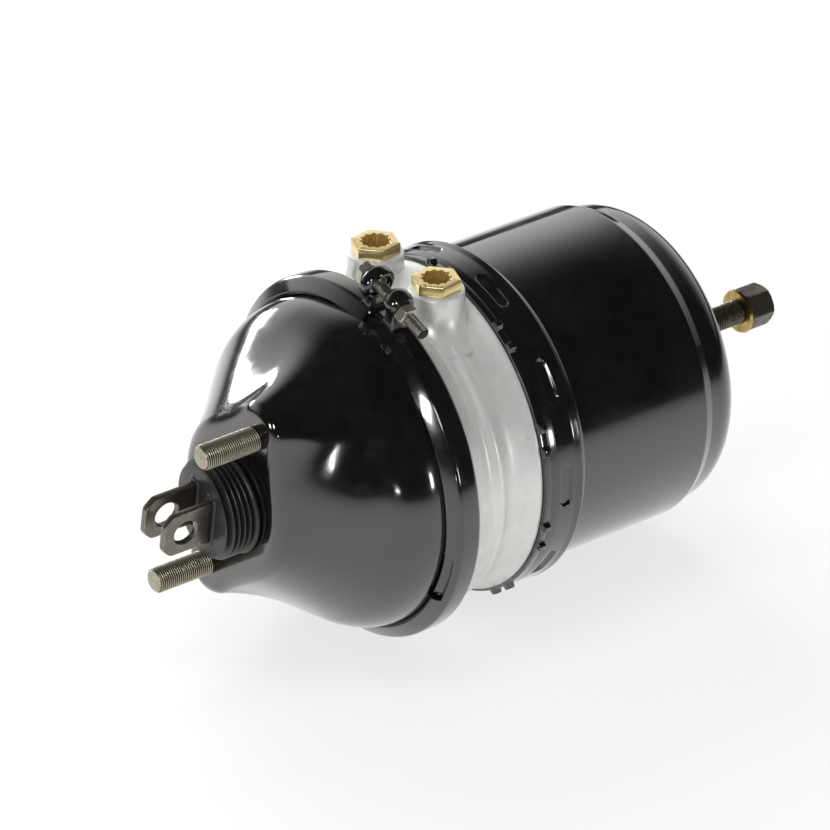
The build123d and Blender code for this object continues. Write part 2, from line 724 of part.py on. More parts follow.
# --- Release boss, fixed in the rear face -------------------------------------------------------------
release_boss_length = release_boss_depth + cylinder_wall + release_boss_reach + 2 * seat_gap
with BuildPart() as release_boss:
    with BuildSketch(across(cylinder_floor - release_boss_depth - seat_gap)):
        Circle(release_boss_radius)
    extrude(amount=-release_boss_depth)
    with BuildSketch(across(cylinder_floor - seat_gap)):
        Circle(release_boss_neck_radius)
    extrude(amount=-(cylinder_wall + seat_gap + release_boss_reach))
    with BuildSketch(across(cylinder_floor - release_boss_depth - seat_gap)):
        Circle(release_bolt_diameter / 2 + running_clearance)
    extrude(amount=-release_boss_length, mode=Mode.SUBTRACT)
finish(release_boss, "release_boss")

# --- Guide bush and seals in the hub ------------------------------------------------------------------
with BuildPart() as tube_bush:
    with BuildSketch(across(bush_front)):
        Circle(hub_bore_radius - running_clearance)
        Circle(tube_radius + running_clearance, mode=Mode.SUBTRACT)
    extrude(amount=-bush_length)
finish(tube_bush, "tube_bush")

with BuildPart() as tube_seals:
    for y in (bush_front - tube_seal_width - seat_gap, bush_front + bush_length + seat_gap):
        with BuildSketch(across(y)):
            Circle(hub_bore_radius - running_clearance)
            Circle(tube_radius + running_clearance, mode=Mode.SUBTRACT)
        extrude(amount=-tube_seal_width)
finish(tube_seals, "tube_seals")

# --- Spring piston with its seal and guide ring -------------------------------------------------------
piston_radius = cylinder_bore - moving_gap
with BuildPart() as spring_piston:
    with BuildSketch(Plane.XY):
        with BuildLine():
            Polyline(
                (release_clear_radius, piston_front + tube_seat_depth),
                (tube_radius + running_clearance, piston_front + tube_seat_depth),
                (tube_radius + running_clearance, piston_front),
                (piston_radius, piston_front),
                (piston_radius, seal_front),
                (piston_radius - piston_seal_depth, seal_front),
                (piston_radius - piston_seal_depth, seal_front + piston_seal_width),
                (piston_radius, seal_front + piston_seal_width),
                (piston_radius, guide_front),
                (piston_radius - guide_ring_depth, guide_front),
                (piston_radius - guide_ring_depth, guide_front + guide_ring_width),
                (piston_radius, guide_front + guide_ring_width),
                (piston_radius, piston_front + piston_rim_length),
                (piston_radius - piston_web, piston_front + piston_rim_length),
                (piston_radius - piston_web, piston_front + piston_web),
                (release_clear_radius, piston_front + piston_web),
                (release_clear_radius, piston_front + tube_seat_depth),
            )
        make_face()
    revolve(axis=Axis.Y)
finish(spring_piston, "spring_piston")

with BuildPart() as piston_seal:
    with BuildSketch(across(seal_front + seat_gap)):
        Circle(cylinder_bore - running_clearance)
        Circle(piston_radius - piston_seal_depth + running_clearance, mode=Mode.SUBTRACT)
    extrude(amount=-(piston_seal_width - 2 * seat_gap))
finish(piston_seal, "piston_seal")

with BuildPart() as piston_guide_ring:
    with BuildSketch(across(guide_front + seat_gap)):
        Circle(cylinder_bore - running_clearance)
        Circle(piston_radius - guide_ring_depth + running_clearance, mode=Mode.SUBTRACT)
    extrude(amount=-(guide_ring_width - 2 * seat_gap))
finish(piston_guide_ring, "piston_guide_ring")

with BuildPart() as piston_tube:
    with BuildSketch(across(tube_front)):
        Circle(tube_radius)
        Circle(tube_radius - tube_wall, mode=Mode.SUBTRACT)
    extrude(amount=-(tube_rear - tube_front))
finish(piston_tube, "piston_tube")

with BuildPart() as tube_end_pad:
    with BuildSketch(across(pad_front)):
        Circle(tube_radius - running_clearance)
    extrude(amount=-end_pad_thickness)
    with BuildSketch(across(tube_front)):
        Circle(tube_radius - tube_wall - running_clearance)
    extrude(amount=-end_pad_plug)
finish(tube_end_pad, "tube_end_pad")


def coil(front, rear, radius, wire, turns):
    """An open coil spring about the axis, whose wire just reaches the front and the rear."""
    travel = rear - front - wire
    with BuildPart() as spring:
        with BuildLine():
            start = (0, front + wire / 2, 0)
            path = Helix(travel / turns, travel, radius, center=start, direction=(0, 1, 0))
        with BuildSketch(Plane(origin=path @ 0, z_dir=path % 0)):
            Circle(wire / 2)
        sweep(is_frenet=True)
    return spring


finish(
    coil(piston_front + piston_web + seat_gap, cylinder_floor - seat_gap, power_spring_radius,
         power_spring_wire, power_spring_turns),
    "power_spring",
)
finish(
    coil(backing_rear + seat_gap, plate_front - seat_gap, return_spring_radius, return_spring_wire,
         return_spring_turns),
    "return_spring",
)

# --- Release bolt: shaft, inner head, thrust collar, hexagon with its pin, and washer ------------------
with BuildPart() as release_bolt:
    with BuildSketch(across(thrust_front - release_head_thickness)):
        Circle(release_head_radius)
    extrude(amount=-release_head_thickness)
    with BuildSketch(across(thrust_front)):
        Circle(release_bolt_diameter / 2)
    extrude(amount=-(release_end - thrust_front))
    with BuildSketch(hex_pin_plane):
        Circle(hex_pin_diameter / 2 + running_clearance)
    extrude(amount=release_hex_across_flats / 2, both=True, mode=Mode.SUBTRACT)
finish(release_bolt, "release_bolt")

with BuildPart() as thrust_collar:
    with BuildSketch(across(thrust_front + running_clearance)):
        Circle(thrust_collar_radius)
        Circle(release_bolt_diameter / 2 + running_clearance, mode=Mode.SUBTRACT)
    extrude(amount=-(thrust_collar_length - running_clearance))
finish(thrust_collar, "thrust_collar")

with BuildPart() as release_hex:
    with BuildSketch(across(release_hex_front)):
        RegularPolygon(release_hex_across_flats / 2, 6, major_radius=False)
    extrude(amount=-release_hex_length)
    chamfer(release_hex.faces().sort_by(Axis.Y)[-1].edges(), length=release_hex_chamfer)
    with BuildSketch(across(release_hex_front)):
        Circle(release_bolt_diameter / 2 + running_clearance)
    extrude(amount=-release_hex_length, mode=Mode.SUBTRACT)
    with BuildSketch(hex_pin_plane):
        Circle(hex_pin_diameter / 2 + running_clearance)
    extrude(amount=release_hex_across_flats / 2, both=True, mode=Mode.SUBTRACT)
finish(release_hex, "release_hex")

with BuildPart() as hex_pin:
    with BuildSketch(hex_pin_plane):
        Circle(hex_pin_diameter / 2)
    extrude(amount=release_hex_across_flats / 2 - seat_gap, both=True)
finish(hex_pin, "hex_pin")

with BuildPart() as release_washer:
    with BuildSketch(across(release_hex_front - release_washer_thickness - seat_gap)):
        Circle(release_washer_radius)
        Circle(release_bolt_diameter / 2 + running_clearance, mode=Mode.SUBTRACT)
    extrude(amount=-release_washer_thickness)
finish(release_washer, "release_washer")

# --- Diaphragm ------------------------------------------------------------------------------------------
diaphragm_bend_front = body_front - diaphragm_bend
diaphragm_bend_rear = body_front + diaphragm_bend
with BuildPart() as diaphragm:
    with BuildSketch(Plane.XY):
        with BuildLine():
            Polyline(
                (0, diaphragm_face),
                (diaphragm_crown, diaphragm_face),
                (diaphragm_wall_radius - diaphragm_thickness, diaphragm_bend_front),
                (diaphragm_wall_radius - diaphragm_thickness, diaphragm_front),
                (flange_radius - seat_gap, diaphragm_front),
                (flange_radius - seat_gap, diaphragm_front + diaphragm_bead),
                (diaphragm_wall_radius, diaphragm_front + diaphragm_bead),
                (diaphragm_wall_radius, diaphragm_bend_rear),
                (diaphragm_crown + diaphragm_thickness / 2, diaphragm_rear),
                (0, diaphragm_rear),
                (0, diaphragm_face),
            )
        make_face()
    revolve(axis=Axis.Y)
finish(diaphragm, "diaphragm")

# --- Push plate, rod and fork ---------------------------------------------------------------------------
push_plate_bore = rod_diameter / 2 + running_clearance
with BuildPart() as push_plate:
    with BuildSketch(Plane.XY):
        with BuildLine():
            FilletPolyline(
                (push_plate_bore, plate_front),
                (push_plate_radius - push_plate_thickness, plate_front),
                (push_plate_radius - push_plate_thickness, plate_front - push_plate_rim),
                (push_plate_radius, plate_front - push_plate_rim),
                (push_plate_radius, plate_rear),
                (push_plate_bore, plate_rear),
                radius=[push_plate_bend, 0, 0, push_plate_thickness],
            )
            Line((push_plate_bore, plate_rear), (push_plate_bore, plate_front))
        make_face()
    revolve(axis=Axis.Y)
finish(push_plate, "push_plate")

with BuildPart() as pushrod:
    with BuildSketch(across(-fork_base_position)):
        Circle(rod_diameter / 2)
    extrude(amount=-(plate_rear + fork_base_position))
finish(pushrod, "pushrod")

with BuildPart() as fork:
    with BuildSketch(fork_plane(-fork_base_position)):
        RectangleRounded(fork_gap + 2 * fork_ear_thickness, fork_ear_height, fork_base_corner)
    extrude(amount=fork_base_thickness)
    with BuildSketch(fork_plane(-fork_base_position)):
        with Locations((-fork_ear_offset, 0), (fork_ear_offset, 0)):
            Rectangle(fork_ear_thickness, fork_ear_height)
    extrude(amount=fork_reach - fork_base_position)
    chamfer(
        fork.edges().filter_by(Axis((0, 0, 0), fork_plane(0).x_dir)).group_by(Axis.Y)[0],
        length=fork_corner,
    )
    with BuildSketch(fork_pin_plane):
        Circle(fork_pin_diameter / 2)
    extrude(amount=fork_gap + 2 * fork_ear_thickness, both=True, mode=Mode.SUBTRACT)
finish(fork, "fork")

# --- Bellows and the flanged bush that holds it in the mounting face ----------------------------------
with BuildPart() as bellows_retainer:
    with BuildSketch(across(bellows_base - retainer_wall)):
        Circle(retainer_radius)
        Circle(retainer_bore, mode=Mode.SUBTRACT)
    extrude(amount=-retainer_wall)
    with BuildSketch(across(bellows_base)):
        Circle(rod_opening_radius - seat_gap)
        Circle(retainer_bore, mode=Mode.SUBTRACT)
    extrude(amount=-(backing_rear - bellows_base))
finish(bellows_retainer, "bellows_retainer")

bellows_inner_radius = bellows_radius - bellows_fold_depth - bellows_wall
fold_pitch = (bellows_length - bellows_bead_length - bellows_wall) / bellows_fold_count
fold_points = []
for fold in range(bellows_fold_count):
    fold_start = -bellows_length + bellows_wall + fold * fold_pitch
    fold_points += [(bellows_radius, fold_start + fold_pitch / 4),
                    (bellows_radius, fold_start + fold_pitch / 2),
                    (bellows_radius - bellows_fold_depth, fold_start + 3 * fold_pitch / 4),
                    (bellows_radius - bellows_fold_depth, fold_start + fold_pitch)]

with BuildPart() as bellows:
    with BuildSketch(Plane.XY):
        with BuildLine():
            Polyline(
                (0, -bellows_length),
                (bellows_radius - bellows_wall, -bellows_length),
                *fold_points,
                (bellows_radius, -bellows_bead_length + bellows_bead_bevel),
                (bellows_radius, bellows_base),
                (retainer_radius - 2 * retainer_wall, bellows_base),
                (retainer_radius - 2 * retainer_wall, -bellows_bead_length),
                (bellows_inner_radius, -bellows_bead_length - bellows_bead_bevel),
                (bellows_inner_radius, -bellows_length + bellows_wall),
                (0, -bellows_length + bellows_wall),
                (0, -bellows_length),
            )
        make_face()
    revolve(axis=Axis.Y)
    with BuildSketch(across(bellows_base)):
        Circle(retainer_radius + seat_gap)
    extrude(amount=retainer_wall + seat_gap, mode=Mode.SUBTRACT)
    with BuildSketch(fork_plane(-bellows_length)):
        with Locations((-fork_ear_offset, 0), (fork_ear_offset, 0)):
            Rectangle(fork_ear_thickness + 2 * seat_gap, fork_ear_height + 2 * seat_gap)
    extrude(amount=-2 * bellows_wall, mode=Mode.SUBTRACT)
finish(bellows, "bellows")
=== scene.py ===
# %% [markdown]
# # An air brake chamber, dressed in Blender
#
# The object is the cylinder that works a drum or disc brake on a heavy vehicle.  A black deep-drawn housing with an
# oval nose carries two studs, a rubber bellows and a fork.  A V-shaped band clamps it to a cast aluminium body with
# two brass ports, and behind that stands a long black can that holds the parking spring.
#
# The imported model gives the frame: every piece is in metres, +Z is up, the chamber's axis is Y, and the origin is
# the centre of the mounting face.  We first load it.  Nothing we add may grow the object.

# %% Load the frame
import json

import bmesh
import bpy
import numpy as np
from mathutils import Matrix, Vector


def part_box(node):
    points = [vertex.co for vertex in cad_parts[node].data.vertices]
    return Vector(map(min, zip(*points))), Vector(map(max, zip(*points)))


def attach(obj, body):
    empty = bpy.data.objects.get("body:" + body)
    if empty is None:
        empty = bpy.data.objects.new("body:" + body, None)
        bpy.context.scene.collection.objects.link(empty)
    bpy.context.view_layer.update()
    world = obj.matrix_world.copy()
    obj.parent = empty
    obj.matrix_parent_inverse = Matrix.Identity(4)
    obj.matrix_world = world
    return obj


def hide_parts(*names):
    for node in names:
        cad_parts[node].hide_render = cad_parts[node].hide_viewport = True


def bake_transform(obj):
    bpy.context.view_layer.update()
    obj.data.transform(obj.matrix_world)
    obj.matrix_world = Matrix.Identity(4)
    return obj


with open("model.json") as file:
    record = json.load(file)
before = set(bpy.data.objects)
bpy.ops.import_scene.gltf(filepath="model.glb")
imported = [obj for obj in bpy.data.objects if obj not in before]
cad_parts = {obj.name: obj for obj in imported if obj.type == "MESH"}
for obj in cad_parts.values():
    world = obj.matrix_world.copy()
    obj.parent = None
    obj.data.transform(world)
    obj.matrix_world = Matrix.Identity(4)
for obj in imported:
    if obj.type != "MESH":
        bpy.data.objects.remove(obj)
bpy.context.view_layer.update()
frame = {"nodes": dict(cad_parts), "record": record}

# %% [markdown]
# ## The camera
#
# A long lens far away keeps the round flanges almost round.  We aim it by an azimuth and an elevation, as one would
# set a tripod, which is easier to read than a matrix of numbers.

# %% Camera
camera_azimuth = np.radians(52.6)
camera_elevation = np.radians(29.06)
camera_distance = 4.0778
camera_target = np.array([-0.02176, 0.15795, -0.00337])
camera_back = np.array([np.sin(camera_azimuth) * np.cos(camera_elevation),
                        -np.cos(camera_azimuth) * np.cos(camera_elevation),
                        np.sin(camera_elevation)])

camera = bpy.data.objects.new("camera", bpy.data.cameras.new("camera"))
bpy.context.scene.collection.objects.link(camera)
bpy.context.scene.camera = camera
camera.location = camera_target + camera_distance * camera_back
camera.rotation_euler = Vector(-camera_back).to_track_quat("-Z", "Y").to_euler()
camera.data.sensor_width = 36.0
camera.data.lens = 284.45
camera.data.clip_end = 100.0

# %% [markdown]
# ## Shader nodes in short form
#
# A material is a small graph of nodes.  `node` adds one and fills its inputs, either with a plain value or with the
# output of another node, so that a graph reads like a list of sentences.

# %% Shader helpers
def node(tree, kind, inputs=None, **settings):
    """Adds a shader node of this kind.  An input that is a socket is linked, any other is set as a value."""
    made = tree.nodes.new("ShaderNode" + kind)
    for key, value in settings.items():
        setattr(made, key, value)
    for key, value in (inputs or {}).items():
        if isinstance(value, bpy.types.NodeSocket):
            tree.links.new(value, made.inputs[key])
        else:
            made.inputs[key].default_value = value
    return made


def maths(tree, operation, first, second=0.0, clamp=False):
    """One arithmetic step.  Returns its result's socket."""
    return node(tree, "Math", {0: first, 1: second}, operation=operation, use_clamp=clamp).outputs[0]


def ramp(tree, value, low, high, to_low=0.0, to_high=1.0):
    """Maps value from low..high to to_low..to_high with soft ends.  Returns the result's socket."""
    ends = {"Value": value, "From Min": low, "From Max": high, "To Min": to_low, "To Max": to_high}
    return node(tree, "MapRange", ends, interpolation_type="SMOOTHSTEP").outputs["Result"]


def mixed(tree, factor, first, second):
    """The colour between first and second at factor.  Returns its socket."""
    return node(tree, "MixRGB", {"Fac": factor, "Color1": first, "Color2": second}).outputs["Color"]


# %% [markdown]
# ## The room
#
# Gloss black paint has almost no colour of its own: what we see on it is the room.  So the room matters more than
# the paint.  Behind and to the left stands a white screen, ahead and above the room is dark, and the table is white
# near the object and fades into the dark room.  The camera sees plain white, mirrors see the screen and the table,
# and everything else gets a soft fill.

# %% World and floor
bpy.context.scene.view_settings.view_transform = "Standard"

world = bpy.data.worlds.new("studio")
bpy.context.scene.world = world
world.use_nodes = True
sky = world.node_tree
sky.nodes.clear()

screen_direction = Vector((-0.90, 0.42, 0.0)).normalized()
room_fill = 0.42
room_dark = 0.016

looking = node(sky, "TexCoord").outputs["Generated"]
towards_screen = node(sky, "VectorMath", {0: looking, 1: screen_direction},
                      operation="DOT_PRODUCT").outputs["Value"]
height = node(sky, "SeparateXYZ", {0: looking}).outputs["Z"]
screen = maths(sky, "MULTIPLY", ramp(sky, towards_screen, 0.05, 0.80), ramp(sky, height, 0.80, 0.30))
rays = node(sky, "LightPath").outputs
mirrored = maths(sky, "MAXIMUM", rays["Is Glossy Ray"], rays["Is Transmission Ray"])
level = maths(sky, "ADD", maths(sky, "MULTIPLY", mirrored, maths(sky, "ADD", screen, room_dark)),
              maths(sky, "MULTIPLY", maths(sky, "SUBTRACT", 1.0, mirrored), room_fill))
level = maths(sky, "MAXIMUM", level, rays["Is Camera Ray"])
backdrop = node(sky, "Background", {"Color": (1.0, 1.0, 1.0, 1.0), "Strength": level})
node(sky, "OutputWorld", {"Surface": backdrop.outputs["Background"]})

floor_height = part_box("clamp_band")[0].z - 0.0005
floor_size = 30.0
floor_tone, floor_glow = 0.86, 0.72
table_middle = (0.0, 0.13, floor_height)
table_white, table_end, table_loss = 0.15, 1.5, 0.80
floor_mesh = bpy.data.meshes.new("floor")
corners = floor_size * np.array([[-1, -1, 0], [1, -1, 0], [1, 1, 0], [-1, 1, 0]]) + np.array([0, 0, floor_height])
floor_mesh.from_pydata(corners.tolist(), [], [[0, 1, 2, 3]])
floor = bpy.data.objects.new("floor", floor_mesh)
bpy.context.scene.collection.objects.link(floor)

floor_paint = bpy.data.materials.new("floor_white")
floor_paint.use_nodes = True
table = floor_paint.node_tree
table.nodes.clear()
rays = node(table, "LightPath").outputs
floor_place = node(table, "TexCoord").outputs["Object"]
from_middle = node(table, "VectorMath", {0: floor_place, 1: table_middle}, operation="DISTANCE").outputs["Value"]
nearness = ramp(table, from_middle, table_end, table_white)
mirrored = maths(table, "MAXIMUM", rays["Is Glossy Ray"], rays["Is Transmission Ray"])
near_share = maths(table, "MULTIPLY", mirrored, nearness)
far_share = maths(table, "MULTIPLY", mirrored, maths(table, "SUBTRACT", 1.0, nearness))
white_share = maths(table, "MULTIPLY", maths(table, "MAXIMUM", rays["Is Camera Ray"], near_share), floor_glow)
lit_level = maths(table, "SUBTRACT", floor_tone, maths(table, "MULTIPLY", far_share, table_loss))
lit = node(table, "BsdfDiffuse", {"Color": lit_level})
glow = node(table, "Emission", {"Color": (1.0, 1.0, 1.0, 1.0), "Strength": 1.0})
surface = node(table, "MixShader", {0: white_share, 1: lit.outputs["BSDF"], 2: glow.outputs["Emission"]})
node(table, "OutputMaterial", {"Surface": surface.outputs["Shader"]})
floor_mesh.materials.append(floor_paint)

# %% [markdown]
# ## The lamps
#
# Each strip is a small softbox.  Its mirror image is a white streak on the paint, so its direction is set from
# where a streak has to lie: the direction to the lamp is the view direction mirrored at the surface there.  The two
# broad lamps only fill the shadows, so the paint doesn't mirror them.

# %% Lamps
stage_centre = Vector((0.0, table_middle[1], 0.0))


def softbox(name, direction, distance, width, height, power, mirrored=True):
    """An area lamp that looks at the object's middle from this direction.  Paint mirrors it only if mirrored."""
    lamp = bpy.data.lights.new(name, "AREA")
    lamp.shape = "RECTANGLE"
    lamp.size = width
    lamp.size_y = height
    lamp.energy = power
    holder = bpy.data.objects.new(name, lamp)
    away = Vector(direction).normalized()
    holder.location = stage_centre + away * distance
    holder.rotation_euler = away.to_track_quat("Z", "Y").to_euler()
    holder.visible_glossy = mirrored
    bpy.context.scene.collection.objects.link(holder)


softbox("upper_strip", (0.50, -0.76, 0.40), 4.0, 0.30, 0.80, 26.0)
softbox("lower_strip", (0.79, -0.60, -0.13), 4.0, 0.34, 0.95, 44.0)
softbox("band_strip", (0.12, -0.97, 0.21), 4.0, 0.40, 0.60, 30.0)
softbox("left_strip", (-0.99, 0.05, 0.09), 4.0, 1.40, 0.60, 60.0)
softbox("side_strip", (0.94, 0.33, 0.02), 4.0, 0.24, 0.75, 16.0)
softbox("screen_lamp", (-0.72, 0.10, 0.62), 2.0, 1.3, 0.9, 30.0, mirrored=False)
softbox("overhead", (0.10, -0.25, 1.0), 2.2, 1.0, 1.0, 16.0, mirrored=False)

# %% [markdown]
# ## Effects shared by the finishes
#
# Three effects come back in many finishes, so each is built once as a node group: `patches` is the slow change of
# tone over a surface, `grain` the fine relief of casting, phosphate or moulding, and `edges` finds the convex edges,
# where a finish rubs through first.

# %% Node groups
def effect(name, inputs, outputs):
    """An empty node group with these float inputs and outputs.  Returns its tree, input node and output node."""
    tree = bpy.data.node_groups.new(name, "ShaderNodeTree")
    for label, value in inputs.items():
        socket = tree.interface.new_socket(name=label, in_out="INPUT", socket_type="NodeSocketFloat")
        socket.default_value = value
    for label in outputs:
        tree.interface.new_socket(name=label, in_out="OUTPUT", socket_type="NodeSocketFloat")
    return tree, tree.nodes.new("NodeGroupInput"), tree.nodes.new("NodeGroupOutput")


def place(tree, group, **values):
    """Places a node group in a material's tree with these values.  Returns the group node."""
    placed = tree.nodes.new("ShaderNodeGroup")
    placed.node_tree = group
    for label, value in values.items():
        placed.inputs[label].default_value = value
    return placed


def object_noise(tree, scale, detail=3.0, roughness=0.55):
    """Noise on Object coordinates.  Scale is in cells for each metre.  Returns its value's socket."""
    where = node(tree, "TexCoord").outputs["Object"]
    return node(tree, "TexNoise", {"Vector": where, "Scale": scale, "Detail": detail, "Roughness": roughness}
                ).outputs["Fac"]


patches, given, result = effect("patches", {"Scale": 30.0, "Contrast": 1.0}, ["Tone"])
broad = object_noise(patches, given.outputs["Scale"])
small = object_noise(patches, maths(patches, "MULTIPLY", given.outputs["Scale"], 5.3), 2.0)
both = maths(patches, "ADD", maths(patches, "MULTIPLY", broad, 0.65), maths(patches, "MULTIPLY", small, 0.35))
gain = maths(patches, "MULTIPLY", given.outputs["Contrast"], 3.0)
spread = maths(patches, "MULTIPLY", maths(patches, "SUBTRACT", both, 0.5), gain)
patches.links.new(maths(patches, "ADD", spread, 0.5, clamp=True), result.inputs["Tone"])

grain, given, result = effect("grain", {"Scale": 900.0}, ["Relief"])
coarse = object_noise(grain, given.outputs["Scale"], 2.0, 0.6)
pits = object_noise(grain, maths(grain, "MULTIPLY", given.outputs["Scale"], 0.27), 1.0)
grain.links.new(maths(grain, "ADD", coarse, maths(grain, "MULTIPLY", ramp(grain, pits, 0.30, 0.42), 0.6)),
                result.inputs["Relief"])

edges, given, result = effect("edges", {"Width": 0.0006, "Breakup": 300.0}, ["Worn"])
softened = node(edges, "Bevel", {"Radius": given.outputs["Width"]}, samples=4).outputs["Normal"]
true_normal = node(edges, "NewGeometry").outputs["Normal"]
alike = node(edges, "VectorMath", {0: softened, 1: true_normal}, operation="DOT_PRODUCT").outputs["Value"]
bent = ramp(edges, alike, 0.995, 0.90)
chips = ramp(edges, object_noise(edges, given.outputs["Breakup"]), 0.40, 0.60)
edges.links.new(maths(edges, "MULTIPLY", bent, chips), result.inputs["Worn"])

# %% [markdown]
# ## The finishes
#
# Each finish is one Principled shader with two tones mixed by `patches` and a roughness that follows the same
# patches.  Most have a relief too, whose depth is given in metres, so that it keeps its scale.  What is constant over
# a surface, such as the coat of lacquer on the paint, is set on the shader itself.

# %% Finishes
finishes = {}


def new_finish(slot):
    """A material named after its slot, with a Principled shader.  Returns its tree and shader."""
    material = bpy.data.materials.new(slot)
    material.use_nodes = True
    tree = material.node_tree
    tree.nodes.clear()
    shader = node(tree, "BsdfPrincipled")
    node(tree, "OutputMaterial", {"Surface": shader.outputs["BSDF"]})
    finishes[slot] = material
    return tree, shader


def relief(tree, shader, height, depth):
    """Feeds a height through a Bump node into the shader's normal.  Depth is in metres."""
    bump = node(tree, "Bump", {"Height": height, "Distance": depth, "Strength": 1.0})
    tree.links.new(bump.outputs["Normal"], shader.inputs["Normal"])


def two_tone(slot, dark, light, smooth, rough, metallic, patch_scale, contrast, grain_scale, grain_depth,
             worn=None, wear_width=0.0):
    """A finish between two tones and two roughnesses, with grain, and with worn edges where a colour is given."""
    tree, shader = new_finish(slot)
    tone = place(tree, patches, Scale=patch_scale, Contrast=contrast).outputs["Tone"]
    colour = mixed(tree, tone, (*dark, 1.0), (*light, 1.0))
    if worn is not None:
        colour = mixed(tree, place(tree, edges, Width=wear_width).outputs["Worn"], colour, (*worn, 1.0))
    tree.links.new(colour, shader.inputs["Base Color"])
    tree.links.new(ramp(tree, tone, 0.0, 1.0, rough, smooth), shader.inputs["Roughness"])
    shader.inputs["Metallic"].default_value = metallic
    relief(tree, shader, place(tree, grain, Scale=grain_scale).outputs["Relief"], grain_depth)


# Gloss black enamel: nearly black, a hard clear surface, a faint orange peel, and a little dust that lifts the
# roughness in patches.
tree, shader = new_finish("gloss_black_paint")
dust = place(tree, patches, Scale=22.0, Contrast=1.3).outputs["Tone"]
tree.links.new(mixed(tree, dust, (0.0035, 0.0035, 0.0040, 1.0), (0.0075, 0.0075, 0.0080, 1.0)),
               shader.inputs["Base Color"])
tree.links.new(ramp(tree, dust, 0.2, 1.0, 0.10, 0.17), shader.inputs["Roughness"])
shader.inputs["IOR"].default_value = 1.75
shader.inputs["Coat Weight"].default_value = 0.6
shader.inputs["Coat Roughness"].default_value = 0.04
shader.inputs["Coat IOR"].default_value = 1.6
peel = object_noise(tree, 260.0, 1.0)
drawn = object_noise(tree, 2600.0, 2.0)
relief(tree, shader, maths(tree, "ADD", peel, maths(tree, "MULTIPLY", drawn, 0.12)), 0.000016)

# %% [markdown]
# A plated screw is bright on the crests of its thread, and its grooves get a painted shade, nearly black.  So the
# tone follows the distance from the screw's own axis, which is the root of the sum of two squares, one for each
# direction across it.

# %% Finishes of the plated screws
MM = 0.001
stud_line = np.radians(25.3)
stud_spacing = 120.65
clamp_centre = 95.0
bolt_angle = np.radians(71.0)
bolt_height = 129.3


def crossed(tree, spot, of_x, of_z):
    """The sum of x and z, each times its own share, as a socket."""
    return maths(tree, "ADD", maths(tree, "MULTIPLY", spot.outputs["X"], of_x),
                 maths(tree, "MULTIPLY", spot.outputs["Z"], of_z))


def length_of(tree, first, second):
    """The root of the sum of two squares, as a socket."""
    return maths(tree, "SQRT", maths(tree, "ADD", maths(tree, "MULTIPLY", first, first),
                                     maths(tree, "MULTIPLY", second, second)))


def plated(tree, shader, outside_groove_shade, groove, dull, light, patch_scale, contrast, smooth, rough, metallic):
    """Metal between two tones where the mask is 1, and a painted shade in the groove's tone where it is 0."""
    flake = place(tree, patches, Scale=patch_scale, Contrast=contrast).outputs["Tone"]
    skin = mixed(tree, flake, (*dull, 1.0), (*light, 1.0))
    # Painted shade: the groove's nearly black tone stands where the mask is 0, in the thread's grooves.
    tree.links.new(mixed(tree, outside_groove_shade, (*groove, 1.0), skin), shader.inputs["Base Color"])
    tree.links.new(ramp(tree, flake, 0.0, 1.0, rough, smooth), shader.inputs["Roughness"])
    shader.inputs["Metallic"].default_value = metallic


tree, shader = new_finish("stud_steel")
spot = node(tree, "SeparateXYZ", {0: node(tree, "TexCoord").outputs["Object"]})
along_line = crossed(tree, spot, np.sin(stud_line), np.cos(stud_line))
off_line = crossed(tree, spot, np.cos(stud_line), -np.sin(stud_line))
off_stud = maths(tree, "SUBTRACT", maths(tree, "ABSOLUTE", along_line), stud_spacing / 2 * MM)
# Painted shade in the stud's thread grooves: inside the crest's radius the tone falls to nearly black.
crest = ramp(tree, length_of(tree, off_line, off_stud), 0.00722, 0.00785)
tip_face = ramp(tree, spot.outputs["Y"], -0.0388, -0.0394)
plated(tree, shader, maths(tree, "MAXIMUM", crest, tip_face), (0.035, 0.032, 0.024), (0.30, 0.275, 0.205),
       (0.50, 0.46, 0.36), 150.0, 0.7, 0.30, 0.42, 0.8)

tree, shader = new_finish("bolt_zinc")
spot = node(tree, "SeparateXYZ", {0: node(tree, "TexCoord").outputs["Object"]})
outwards = maths(tree, "SUBTRACT", crossed(tree, spot, np.cos(bolt_angle), np.sin(bolt_angle)), bolt_height * MM)
ahead = maths(tree, "SUBTRACT", spot.outputs["Y"], clamp_centre * MM)
# Painted shade in the clamp bolt's thread grooves: inside the crest's radius the tone falls to nearly black.
crest = ramp(tree, length_of(tree, outwards, ahead), 0.00345, 0.00400)
plated(tree, shader, crest, (0.02, 0.019, 0.016), (0.46, 0.44, 0.37), (0.66, 0.64, 0.55), 160.0, 0.6, 0.24, 0.36,
       0.9)

# %% [markdown]
# The other metals, the rubbers and the plastic differ only in their tones, so one function makes them all.  The
# release bolt is a darker phosphate, the fork a brown grey, the port fittings a yellow brass, and the die casting has
# a pale satin skin with grey flow marks.

# %% Finishes between two tones
two_tone("release_steel", (0.06, 0.055, 0.042), (0.16, 0.145, 0.11), 0.30, 0.46, 0.85, 140.0, 0.9, 1800.0, 0.00001,
         worn=(0.42, 0.39, 0.30), wear_width=0.0006)
two_tone("fork_steel", (0.13, 0.118, 0.10), (0.24, 0.22, 0.19), 0.26, 0.36, 0.9, 70.0, 0.7, 1400.0, 0.000006,
         worn=(0.60, 0.55, 0.46), wear_width=0.0007)
two_tone("plain_steel", (0.30, 0.30, 0.30), (0.50, 0.50, 0.50), 0.25, 0.38, 1.0, 80.0, 1.0, 1500.0, 0.00001)
two_tone("spring_steel", (0.02, 0.02, 0.024), (0.06, 0.06, 0.07), 0.35, 0.50, 0.3, 90.0, 1.0, 900.0, 0.00002)
two_tone("washer_brass", (0.36, 0.25, 0.08), (0.62, 0.47, 0.18), 0.22, 0.36, 1.0, 150.0, 1.0, 1500.0, 0.00001)
two_tone("bush_plastic", (0.55, 0.52, 0.42), (0.68, 0.65, 0.55), 0.40, 0.50, 0.0, 60.0, 0.8, 700.0, 0.00001)
